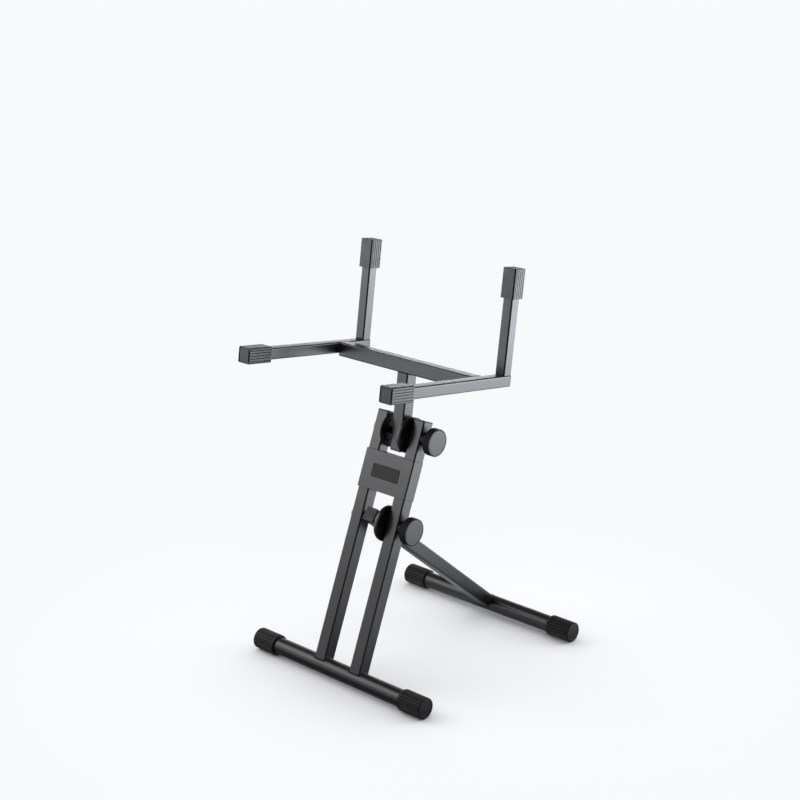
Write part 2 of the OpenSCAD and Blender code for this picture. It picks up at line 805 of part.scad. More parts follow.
module lower_knob() color(gloss_black) on_uprights(lower_pivot) knob_body();
module lower_knob_face() color(knob_grey) on_uprights(lower_pivot) knob_face();
module lower_knob_insert() color(brass) on_uprights(lower_pivot) knob_insert();
module upper_knob() color(gloss_black) on_uprights(upper_pivot) knob_body();
module upper_knob_face() color(knob_grey) on_uprights(upper_pivot) knob_face();
module upper_knob_insert() color(brass) on_uprights(upper_pivot) knob_insert();

front_foot_tube();
front_left_cap();
front_right_cap();
left_upright();
right_upright();
left_upright_plug();
right_upright_plug();
foot_welds();
bracket();
blank_plate();
lower_bolt();
upper_bolt();
head_washers();
knob_washers();
lower_bush();
upper_sleeve();
upper_side_disc();
lower_fixed_clutch();
upper_fixed_clutch();
lower_clutch_spring();
upper_clutch_spring();
leg_tube();
leg_plug();
rear_foot_tube();
rear_left_cap();
rear_right_cap();
leg_welds();
lower_moving_clutch();
lower_clutch_screws();
neck_tube();
neck_plug();
crossbar();
left_arm();
right_arm();
left_arm_cap();
right_arm_cap();
left_arm_plug();
right_arm_plug();
left_post();
right_post();
left_post_cap();
right_post_cap();
head_welds();
upper_moving_clutch();
upper_clutch_screws();
lower_knob();
lower_knob_face();
lower_knob_insert();
upper_knob();
upper_knob_face();
upper_knob_insert();
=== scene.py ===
"""Looks of the folding amp stand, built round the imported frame.

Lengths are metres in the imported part's own frame: +X to the right of someone facing the front, +Y to
the rear, +Z up. Each piece takes its place and its main sizes from the solid that it stands for.
"""
import json

import bpy
import numpy as np
from bpy.props import FloatProperty, FloatVectorProperty, IntProperty, PointerProperty
from mathutils import Matrix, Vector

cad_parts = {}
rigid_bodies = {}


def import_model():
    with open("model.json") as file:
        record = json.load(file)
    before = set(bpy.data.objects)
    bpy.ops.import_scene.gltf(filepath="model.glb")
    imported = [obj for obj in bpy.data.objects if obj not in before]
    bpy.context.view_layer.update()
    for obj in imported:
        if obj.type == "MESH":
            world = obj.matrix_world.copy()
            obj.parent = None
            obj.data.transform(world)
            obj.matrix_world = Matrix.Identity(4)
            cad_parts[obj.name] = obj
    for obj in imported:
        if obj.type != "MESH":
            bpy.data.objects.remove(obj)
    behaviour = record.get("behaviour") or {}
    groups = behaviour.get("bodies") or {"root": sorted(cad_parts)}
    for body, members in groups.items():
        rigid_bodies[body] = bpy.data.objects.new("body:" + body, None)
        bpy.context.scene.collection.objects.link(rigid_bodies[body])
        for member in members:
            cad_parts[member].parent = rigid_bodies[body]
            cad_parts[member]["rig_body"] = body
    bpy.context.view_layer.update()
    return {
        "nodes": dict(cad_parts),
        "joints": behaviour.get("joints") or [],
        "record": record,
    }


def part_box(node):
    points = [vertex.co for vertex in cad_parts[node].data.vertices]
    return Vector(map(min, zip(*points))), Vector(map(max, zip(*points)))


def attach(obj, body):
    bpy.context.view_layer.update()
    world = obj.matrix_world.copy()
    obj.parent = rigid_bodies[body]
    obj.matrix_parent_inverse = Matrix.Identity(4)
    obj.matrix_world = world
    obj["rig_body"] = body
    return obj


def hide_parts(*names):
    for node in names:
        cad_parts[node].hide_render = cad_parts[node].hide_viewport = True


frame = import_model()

bl_info = {
    "name": "Folding amp stand",
    "version": (1, 0, 0),
    "blender": (4, 5, 0),
    "location": "View3D > Sidebar > Amp stand",
    "description": "Shapes and finishes of a folding amp stand round its packed frame",
    "category": "Object",
}

TURN = 2 * np.pi
RIGHT = np.array([1.0, 0.0, 0.0])
REAR = np.array([0.0, 1.0, 0.0])
SLOT_OF = {part["node"]: part["material_slot"] for part in frame["record"]["subparts"]}
JOINTS = {joint["name"]: np.array(joint["pos_m"]) for joint in frame["joints"]}
MOUNT_AXES = {mount["name"]: np.array(mount["axis"]) for mount in frame["record"]["mounts"]}


# ------------------------------------------------------------------ places

class Place:
    """A straight frame inside the part's: its origin, and its x, y and z directions as the rows of axes."""

    def __init__(self, origin, z, x):
        z = np.asarray(z, float) / np.linalg.norm(z)
        x = x - (x @ z) * z
        x = x / np.linalg.norm(x)
        self.origin = np.asarray(origin, float)
        self.axes = np.array([x, np.cross(z, x), z])

    def out(self, points):
        """The same points in the part's frame: origin + x X + y Y + z Z."""
        return self.origin + points @ self.axes

    def box(self, node):
        """Lowest and highest corner of a node along this place's own axes."""
        mesh = frame["nodes"][node].data
        points = np.empty(3 * len(mesh.vertices))
        mesh.vertices.foreach_get("co", points)
        local = (points.reshape(-1, 3) - self.origin) @ self.axes.T
        return local.min(0), local.max(0)

    def span(self, node):
        """Lowest and highest z of a node, and its half widths and its centre across z."""
        low, high = self.box(node)
        return low[2], high[2], (high - low)[:2] / 2, (high + low)[:2] / 2

    def matrix(self):
        """The place as a matrix that turns and moves an object there."""
        return Matrix.Translation(self.origin) @ Matrix(self.axes.T.tolist()).to_4x4()


def middle(node):
    """Middle of a node's box in the part's frame."""
    low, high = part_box(node)
    return (np.array(low) + np.array(high)) / 2


FRONT_AXIS = middle("front_foot_tube")
REAR_AXIS = middle("rear_foot_tube")
LOWER_PIVOT = JOINTS["leg_fold"]
UPPER_PIVOT = JOINTS["head_tilt"]

UPRIGHTS = Place(FRONT_AXIS, UPPER_PIVOT - LOWER_PIVOT, RIGHT)
LEG = Place(LOWER_PIVOT, LOWER_PIVOT - REAR_AXIS, RIGHT)
HEAD = Place(UPPER_PIVOT, MOUNT_AXES["left_arm_rest"], RIGHT)
ARMS = Place(UPPER_PIVOT, HEAD.axes[1], RIGHT)
CROSSWISE = Place(UPPER_PIVOT, RIGHT, HEAD.axes[1])
FRONT_FOOT = Place(FRONT_AXIS, RIGHT, REAR)
REAR_FOOT = Place(REAR_AXIS, RIGHT, REAR)
LOWER_TURN = Place(LOWER_PIVOT, RIGHT, UPRIGHTS.axes[2])
UPPER_TURN = Place(UPPER_PIVOT, RIGHT, UPRIGHTS.axes[2])
LEG_TURN = Place(LOWER_PIVOT, RIGHT, LEG.axes[2])
HEAD_TURN = Place(UPPER_PIVOT, RIGHT, HEAD.axes[2])

FOOT_R = FRONT_FOOT.box("front_foot_tube")[1][0]
UPRIGHT_IN = UPRIGHTS.box("right_upright")[0][0]
LEG_FOOT_Z = (REAR_AXIS - LEG.origin) @ LEG.axes[2]


# ------------------------------------------------------------------ outlines

def unit(vectors):
    """Vectors scaled to length one."""
    return vectors / np.maximum(np.linalg.norm(vectors, axis=-1, keepdims=True), 1e-12)


def rounded(corners, radii, steps=6, closed=False):
    """A flat outline with rounded corners, and how far round its bend each point lies, 0 to 1 and back to 0.

    A corner of radius r becomes steps + 1 points of the circle that touches both of its sides. The
    circle's centre is the corner + bisector * r / sin(half angle), and its points run from one touching
    point to the other. A corner of radius 0 stays one point, and so do the ends of an open outline.
    """
    p = np.asarray(corners, float)
    r = np.broadcast_to(np.asarray(radii, float), len(p)).copy()
    if not closed:
        r[[0, -1]] = 0
    back = unit(np.roll(p, 1, 0) - p)
    ahead = unit(np.roll(p, -1, 0) - p)
    half = np.arccos(np.clip((back * ahead).sum(1), -1, 1)) / 2
    half = np.clip(half, 0.01, np.pi / 2)
    centre = p + unit(back + ahead) * (r / np.sin(half))[:, None]
    start = p + back * (r / np.tan(half))[:, None] - centre
    side = -np.sign(back[:, 0] * ahead[:, 1] - back[:, 1] * ahead[:, 0])
    share = np.linspace(0, 1, steps + 1)
    angle = (side * (np.pi - 2 * half))[:, None] * share
    cos, sin = np.cos(angle), np.sin(angle)
    arc = np.stack([start[:, :1] * cos - start[:, 1:] * sin, start[:, :1] * sin + start[:, 1:] * cos], -1)
    keep = (r[:, None] > 0) | (share == 0)
    bend = np.where(r[:, None] > 0, np.sin(np.pi * share), 0.0)
    points = np.where(r[:, None, None] > 0, centre[:, None] + arc, p[:, None])
    return points[keep], np.broadcast_to(bend, keep.shape)[keep]


class Section:
    """A closed section, as point = core * (half width - corner radius) + way * corner radius.

    core is 1 or -1 both ways at the corners and runs between them along the sides, way is the outward
    direction, and bend is 0 where the section is flat and 1 in the middle of a corner.
    """

    def __init__(self, core, way, bend):
        self.core, self.way, self.bend = core, way, bend

    def drawn(self, half, corner):
        """The section's points at one size."""
        return self.core * (np.asarray(half) - corner) + self.way * corner


def square_section(steps=6, x_parts=1, y_parts=1):
    """Rectangle with round corners of steps parts each.

    Its sides that face along x are cut in x_parts, and those that face along y in y_parts.
    """
    core, way, bend = [], [], []
    share = np.linspace(0, 1, steps + 1)
    for quarter in range(4):
        start = quarter * TURN / 4
        corner = np.sign([np.cos(start + TURN / 8), np.sin(start + TURN / 8)])
        following = np.array([-corner[1], corner[0]])
        angle = start + share * TURN / 4
        core.append(np.repeat(corner[None], steps + 1, 0))
        way.append(np.stack([np.cos(angle), np.sin(angle)], 1))
        bend.append(np.sin(np.pi * share))
        parts = y_parts if quarter % 2 == 0 else x_parts
        along = np.arange(1, parts)[:, None] / parts
        core.append(corner * (1 - along) + following * along)
        way.append(np.repeat(way[-1][-1:], parts - 1, 0))
        bend.append(np.zeros(parts - 1))
    return Section(np.concatenate(core), np.concatenate(way), np.concatenate(bend))


def divided(profile, bend, start, stop, parts):
    """An outline with one stretch cut in equal parts, its bend, and the share of the stretch at each cut."""
    share = np.linspace(0, 1, parts + 1)[1:-1]
    added = profile[start] + share[:, None] * (profile[stop] - profile[start])
    profile = np.concatenate([profile[:start + 1], added, profile[stop:]])
    return profile, np.concatenate([bend[:start + 1], 0 * share, bend[stop:]]), share


def wave(distance, width):
    """Smooth hump: 1 at distance 0, 0 from half of width outwards, as (1 + cos) / 2."""
    return 0.5 + 0.5 * np.cos(np.pi * np.clip(np.abs(distance) / (width / 2), 0, 1))


def angles(count):
    """Equal steps once round a circle."""
    return np.arange(count) * TURN / count


def repeats(angle, count):
    """Signed angle from the nearest of count equal marks round a circle."""
    pitch = TURN / count
    return (angle + pitch / 2) % pitch - pitch / 2


# ------------------------------------------------------------------ surfaces

def swept(section, half, corner, profile, relief=0.0):
    """Grid of points of a section along z.

    At profile point (inset, z) it is drawn with its half widths and its corner radius less inset, and
    pulled in by relief along its outward direction.
    """
    inset, z = profile[:, 0], profile[:, 1]
    size = np.broadcast_to(half, 2)[None] - inset[:, None]
    radius = np.minimum(np.maximum(corner - inset, 0.0003), size.min(1))
    core = section.core[:, None] * (size - radius[:, None])
    flat = core + section.way[:, None] * (radius[:, None] - np.asarray(relief)[..., None])
    return np.concatenate([flat, np.broadcast_to(z[:, None], flat.shape[:2] + (1,))], -1)


def turned(profile, count, pull_in=0.0, lift=0.0):
    """Grid of points of a profile (r, z) turned about z.

    At angle a they are ((r - pull_in) cos a, (r - pull_in) sin a, z + lift).
    """
    angle = angles(count)[:, None]
    r = profile[:, 0] - pull_in
    z = profile[:, 1] + lift
    return np.stack(np.broadcast_arrays(r * np.cos(angle), r * np.sin(angle), z), -1)


def bead_surface(path, side, up, radius, count=12):
    """Grid of points of a round bead: path + radius (cos b * side + sin b * up), b round the bead."""
    b = angles(count)
    ring = np.cos(b)[:, None, None] * side + np.sin(b)[:, None, None] * up
    return path + ring * radius[:, None]


def rippled(path, radius, pitch, closed):
    """Radius along a bead: radius * (0.84 + 0.16 |sin(pi * along / pitch)|).

    The pitch is rounded so that a whole number of ripples fits. An open bead gets thinner at its ends,
    by sqrt(1.02 - (2 * along / total - 1)^6).
    """
    step = np.linalg.norm(np.roll(path, -1, 0) - path, axis=1)
    along = np.cumsum(step) - step
    total = along[-1] + (step[-1] if closed else 0)
    ripple = np.abs(np.sin(np.pi * along / total * round(total / pitch)))
    ends = 1.0 if closed else np.sqrt(np.clip(1.02 - (2 * along / total - 1) ** 6, 0.02, 1))
    return radius * (0.84 + 0.16 * ripple) * ends


class Shell:
    """One closed surface: its points, its faces of four, and the two outlines that close an open grid.

    The grid's first direction always closes on itself. The second one does if loop is set.
    """

    def __init__(self, grid, place, loop=False, bend_u=0.0, bend_v=0.0):
        around, along = grid.shape[:2]
        self.points = place.out(grid).reshape(-1, 3)
        edge = np.maximum(np.reshape(bend_u, (-1, 1)), np.reshape(bend_v, (1, -1)))
        self.edge = np.broadcast_to(edge, (around, along)).reshape(-1)
        index = np.arange(around * along).reshape(around, along)
        beside = np.roll(index, -1, 0)
        if loop:
            quads = [index, beside, np.roll(beside, -1, 1), np.roll(index, -1, 1)]
            self.caps = []
        else:
            quads = [index[:, :-1], beside[:, :-1], beside[:, 1:], index[:, 1:]]
            self.caps = [index[::-1, 0], index[:, -1]]
        self.quads = np.stack(quads, -1).reshape(-1, 4)
        if self.volume() < 0:
            self.quads = self.quads[:, ::-1]
            self.caps = [cap[::-1] for cap in self.caps]

    def volume(self):
        """Six times the volume inside, from the triple products of its triangles; below 0 if inside out."""
        p = self.points - self.points.mean(0)
        a, b, c, d = (p[self.quads[:, i]] for i in range(4))
        total = (a * (np.cross(b, c) + np.cross(c, d))).sum()
        for cap in self.caps:
            ring = p[cap]
            total += (ring[0] * np.cross(ring[1:-1], ring[2:])).sum()
        return total


def new_object(name, data):
    """An object in the scene."""
    made = bpy.data.objects.new(name, data)
    bpy.context.scene.collection.objects.link(made)
    return made


def dress(node, shells, look=None):
    """Makes one mesh of closed shells and puts it in place of a node, on its body and with its finish."""
    offsets = np.cumsum([0] + [len(shell.points) for shell in shells[:-1]])
    faces = [shell.quads + start for shell, start in zip(shells, offsets)]
    caps = [cap + start for shell, start in zip(shells, offsets) for cap in shell.caps]
    corners = np.concatenate([block.ravel() for block in faces] + caps)
    face_sizes = [4] * sum(len(block) for block in faces) + [len(cap) for cap in caps]
    mesh = bpy.data.meshes.new(f"{node}_finished")
    points = np.concatenate([shell.points for shell in shells])
    mesh.vertices.add(len(points))
    mesh.vertices.foreach_set("co", points.ravel())
    mesh.loops.add(len(corners))
    mesh.loops.foreach_set("vertex_index", corners)
    mesh.polygons.add(len(face_sizes))
    mesh.polygons.foreach_set("loop_start", np.cumsum([0] + face_sizes[:-1]))
    mesh.polygons.foreach_set("use_smooth", np.ones(len(face_sizes), bool))
    edge = mesh.attributes.new("edge", "FLOAT", "POINT")
    edge.data.foreach_set("value", np.concatenate([shell.edge for shell in shells]))
    mesh.update(calc_edges=True)
    piece = new_object(mesh.name, mesh)
    normals = piece.modifiers.new("Flat faces stay flat", "WEIGHTED_NORMAL")
    normals.mode = "FACE_AREA_WITH_ANGLE"
    mesh.materials.append(finish(look or SLOT_OF[node]))
    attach(piece, frame["nodes"][node]["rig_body"])
    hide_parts(node)
    return piece


# ------------------------------------------------------------------ finishes

def add(tree, kind, inputs=None, **settings):
    """A node with its settings, whose inputs are set to values or linked to sockets."""
    made = tree.nodes.new(kind)
    for key, value in settings.items():
        setattr(made, key, value)
    for key, value in (inputs or {}).items():
        if isinstance(value, bpy.types.NodeSocket):
            tree.links.new(value, made.inputs[key])
        else:
            made.inputs[key].default_value = value
    return made


def combine(tree, operation, a, b=0.5, clamp=False):
    """The output of a Math node."""
    return add(tree, "ShaderNodeMath", {0: a, 1: b}, operation=operation, use_clamp=clamp).outputs[0]


def spread(tree, value, low, high, to_low=0.0, to_high=1.0):
    """The output of a Map Range node: low to high becomes to_low to to_high, clamped."""
    inputs = {"Value": value, "From Min": low, "From Max": high, "To Min": to_low, "To Max": to_high}
    return add(tree, "ShaderNodeMapRange", inputs).outputs["Result"]


def mixed(tree, share, first, second):
    """The output of a Mix node for colours."""
    return add(tree, "ShaderNodeMix", {0: share, 6: first, 7: second}, data_type="RGBA").outputs[2]


def noise(tree, vector, size, detail=2.0):
    """Noise from 0 to 1 whose features are about as wide as size, in metres."""
    scale = combine(tree, "DIVIDE", 1.0, size)
    inputs = {"Vector": vector, "Scale": scale, "Detail": detail}
    return add(tree, "ShaderNodeTexNoise", inputs).outputs["Fac"]


def new_group(name, inputs, outputs):
    """An empty shader node group, its input node and its output node."""
    group = bpy.data.node_groups.new(name, "ShaderNodeTree")
    for label, kind, value in inputs:
        socket = group.interface.new_socket(label, in_out="INPUT", socket_type=f"NodeSocket{kind}")
        if value is not None:
            socket.default_value = value
    for label, kind in outputs:
        group.interface.new_socket(label, in_out="OUTPUT", socket_type=f"NodeSocket{kind}")
    return group, group.nodes.new("NodeGroupInput").outputs, group.nodes.new("NodeGroupOutput").inputs


# Noise between which the patches and the breaks in the wear come in, and the share of a speck pattern's
# cells that hold no speck.
PATCH_NOISE = 0.3, 0.7
BREAK_NOISE = 0.42, 0.66
BARE_CELLS = 0.72


def grain_group():
    """Fine grain for a bump and broad, faint patches for colour and gloss, both from 0 to 1."""
    group, given, result = new_group(
        "Grain and patches",
        [("Vector", "Vector", None), ("Grain size", "Float", 0.001), ("Patch size", "Float", 0.05)],
        [("Grain", "Float"), ("Patches", "Float")])
    fine = noise(group, given["Vector"], given["Grain size"], 3.0)
    broad = noise(group, given["Vector"], given["Patch size"], 2.0)
    group.links.new(fine, result["Grain"])
    group.links.new(spread(group, broad, *PATCH_NOISE), result["Patches"])
    return group


def wear_group():
    """Mask of worn edges: the edge attribute of the mesh, broken up by noise."""
    group, given, result = new_group(
        "Worn edges",
        [("Vector", "Vector", None), ("Break size", "Float", 0.004), ("Amount", "Float", 0.5)],
        [("Mask", "Float")])
    edge = add(group, "ShaderNodeAttribute", attribute_name="edge").outputs["Fac"]
    broken = spread(group, noise(group, given["Vector"], given["Break size"], 4.0), *BREAK_NOISE)
    mask = combine(group, "MULTIPLY", combine(group, "MULTIPLY", edge, broken), given["Amount"], True)
    group.links.new(mask, result["Mask"])
    return group


def speck_group():
    """Mask of sparse pale specks of dust or lint."""
    group, given, result = new_group(
        "Specks",
        [("Vector", "Vector", None), ("Speck size", "Float", 0.0006), ("Spread", "Float", 0.004)],
        [("Mask", "Float")])
    scale = combine(group, "DIVIDE", 1.0, given["Spread"])
    inputs = {"Vector": given["Vector"], "Scale": scale}
    cells = add(group, "ShaderNodeTexVoronoi", inputs)
    reach = combine(group, "DIVIDE", given["Speck size"], given["Spread"])
    share = combine(group, "DIVIDE", cells.outputs["Distance"], reach)
    chance = add(group, "ShaderNodeSeparateColor", {"Color": cells.outputs["Color"]}).outputs[0]
    some = combine(group, "GREATER_THAN", chance, BARE_CELLS)
    spot = combine(group, "SUBTRACT", 1.0, share, True)
    group.links.new(combine(group, "MULTIPLY", spot, some), result["Mask"])
    return group


def placed(tree, name, build, inputs):
    """The outputs of a shared node group in a material. It is built the first time it is asked for."""
    group = bpy.data.node_groups.get(name) or build()
    return add(tree, "ShaderNodeGroup", inputs, node_tree=group).outputs


def new_material(name):
    """A material, its node tree and its shader."""
    material = bpy.data.materials.new(name)
    material.use_nodes = True
    return material, material.node_tree, material.node_tree.nodes["Principled BSDF"]


# How much a colour varies in patches, the colour of dust, and how much rougher dust is.
MOTTLE = 0.12
DUST = (0.35, 0.35, 0.34, 1.0)
DUST_ROUGHER = 0.4

# What each finish is like. colour is a name in StandColours. rough is its roughness, by uneven more and
# less in patches. grain and patch are the widths of the detail and bump its height, in metres. wear and
# specks, from 0 to 1, are how much worn edges and dust show, and a worn edge is worn_lighter lighter.
# specular and metal are the shader's levels, and shade_specular is the first of them on marked edges, lowered
# there as painted shade.
# PLAIN holds what a finish doesn't name.
PLAIN = dict(patch=0.02, bump=0.00001, wear=0.1, worn_lighter=0.03, specks=0.1, metal=0.0)
PAINT = dict(colour="paint", rough=0.3, uneven=0.03, grain=0.0011, patch=0.05, specular=0.75)
METAL = dict(uneven=0.12, grain=0.002, patch=0.006, bump=0.000004, wear=0.3, worn_lighter=0.08,
             specular=0.5, metal=1.0)
FINISHES = {
    "steel_paint": PAINT,
    # Painted shade: on the mesh's marked edges this paint loses most of its gloss, so that they show as dark
    # shadow lines.
    "edge_paint": dict(PAINT, shade_specular=0.1),
    "weld_paint": dict(colour="paint", rough=0.45, uneven=0.05, grain=0.0008, patch=0.01, wear=0.0,
                       specular=0.4),
    "foot_rubber": dict(colour="rubber", rough=0.42, uneven=0.06, grain=0.0005, specks=0.2, specular=0.4),
    "rest_rubber": dict(colour="rubber", rough=0.36, uneven=0.05, grain=0.0005, specks=0.2, specular=0.65),
    "gloss_black": dict(colour="gloss", rough=0.36, uneven=0.05, grain=0.004, patch=0.015, bump=0.000004,
                        worn_lighter=0.02, specks=0.2, specular=0.16),
    "plate_black": dict(colour="plate", rough=0.5, uneven=0.04, grain=0.0006, patch=0.01, bump=0.000004,
                        specular=0.2),
    "knob_plastic": dict(colour="knob", rough=0.45, uneven=0.06, grain=0.0006, specks=0.2, specular=0.14),
    "knob_grey": dict(colour="knob_face", rough=0.4, uneven=0.04, grain=0.0008, bump=0.000006,
                      worn_lighter=0.05, specular=0.6),
    "plug_plastic": dict(colour="plug", rough=0.5, uneven=0.08, grain=0.0005, patch=0.01, wear=0.2,
                         worn_lighter=0.04, specks=0.3, specular=0.5),
    "zinc": dict(METAL, colour="zinc", rough=0.4, specks=0.2),
    "brass": dict(METAL, colour="brass", rough=0.3),
}


def finish(look_name):
    """The material of a finish: mottled colour, fine grain, pale worn edges and a few specks of dust.

    Where a finish has a shade_specular, its gloss falls to that on the mesh's marked edges: painted shade, a
    dark line standing in for the shadow in a gap.
    """
    name = f"{look_name}_finish"
    if name in bpy.data.materials:
        return bpy.data.materials[name]
    look = PLAIN | FINISHES[look_name]
    colour = getattr(bpy.context.scene.stand_colours, look["colour"])
    material, tree, shader = new_material(name)
    vector = add(tree, "ShaderNodeTexCoord").outputs["Object"]
    grain = placed(tree, "Grain and patches", grain_group,
                   {"Vector": vector, "Grain size": look["grain"], "Patch size": look["patch"]})
    wear = placed(tree, "Worn edges", wear_group, {"Vector": vector, "Amount": look["wear"]})["Mask"]
    speck = placed(tree, "Specks", speck_group, {"Vector": vector})["Mask"]
    speck = combine(tree, "MULTIPLY", speck, look["specks"])

    lighter = [min(1.0, value * (1 + MOTTLE)) for value in colour] + [1.0]
    darker = [value * (1 - MOTTLE) for value in colour] + [1.0]
    worn = [min(1.0, value + look["worn_lighter"]) for value in colour] + [1.0]
    painted = mixed(tree, wear, mixed(tree, grain["Patches"], darker, lighter), worn)
    tree.links.new(mixed(tree, speck, painted, DUST), shader.inputs["Base Color"])

    smoothest, roughest = look["rough"] - look["uneven"], look["rough"] + look["uneven"]
    rough = spread(tree, grain["Patches"], 0, 1, smoothest, roughest)
    dusty = combine(tree, "MULTIPLY", speck, DUST_ROUGHER)
    tree.links.new(combine(tree, "ADD", rough, dusty, True), shader.inputs["Roughness"])
    bump = add(tree, "ShaderNodeBump", {"Height": grain["Grain"], "Distance": look["bump"], "Strength": 1.0})
    tree.links.new(bump.outputs["Normal"], shader.inputs["Normal"])
    shader.inputs["Metallic"].default_value = look["metal"]
    shader.inputs["Specular IOR Level"].default_value = look["specular"]
    # Painted shade: the gloss falls on marked edges, which then show as dark shadow lines.
    if "shade_specular" in look:
        edge = add(tree, "ShaderNodeAttribute", attribute_name="edge").outputs["Fac"]
        tree.links.new(spread(tree, edge, 0.5, 1.0, look["specular"], look["shade_specular"]),
                       shader.inputs["Specular IOR Level"])
    return material


# ------------------------------------------------------------------ settings

def length(name, description, default):
    """A length setting in metres."""
    return FloatProperty(name=name, description=description, default=default, min=0.0, unit="LENGTH",
                         precision=5)


def number(name, description, default):
    """A counting setting."""
    return IntProperty(name=name, description=description, default=default, min=1)


def pigment(name, description, default):
    """A linear colour setting."""
    return FloatVectorProperty(name=name, description=description, default=default, subtype="COLOR",
                               min=0.0, max=1.0)


def amount(name, description, default, **limits):
    """A plain setting that is not below 0."""
    return FloatProperty(name=name, description=description, default=default, min=0.0, **limits)


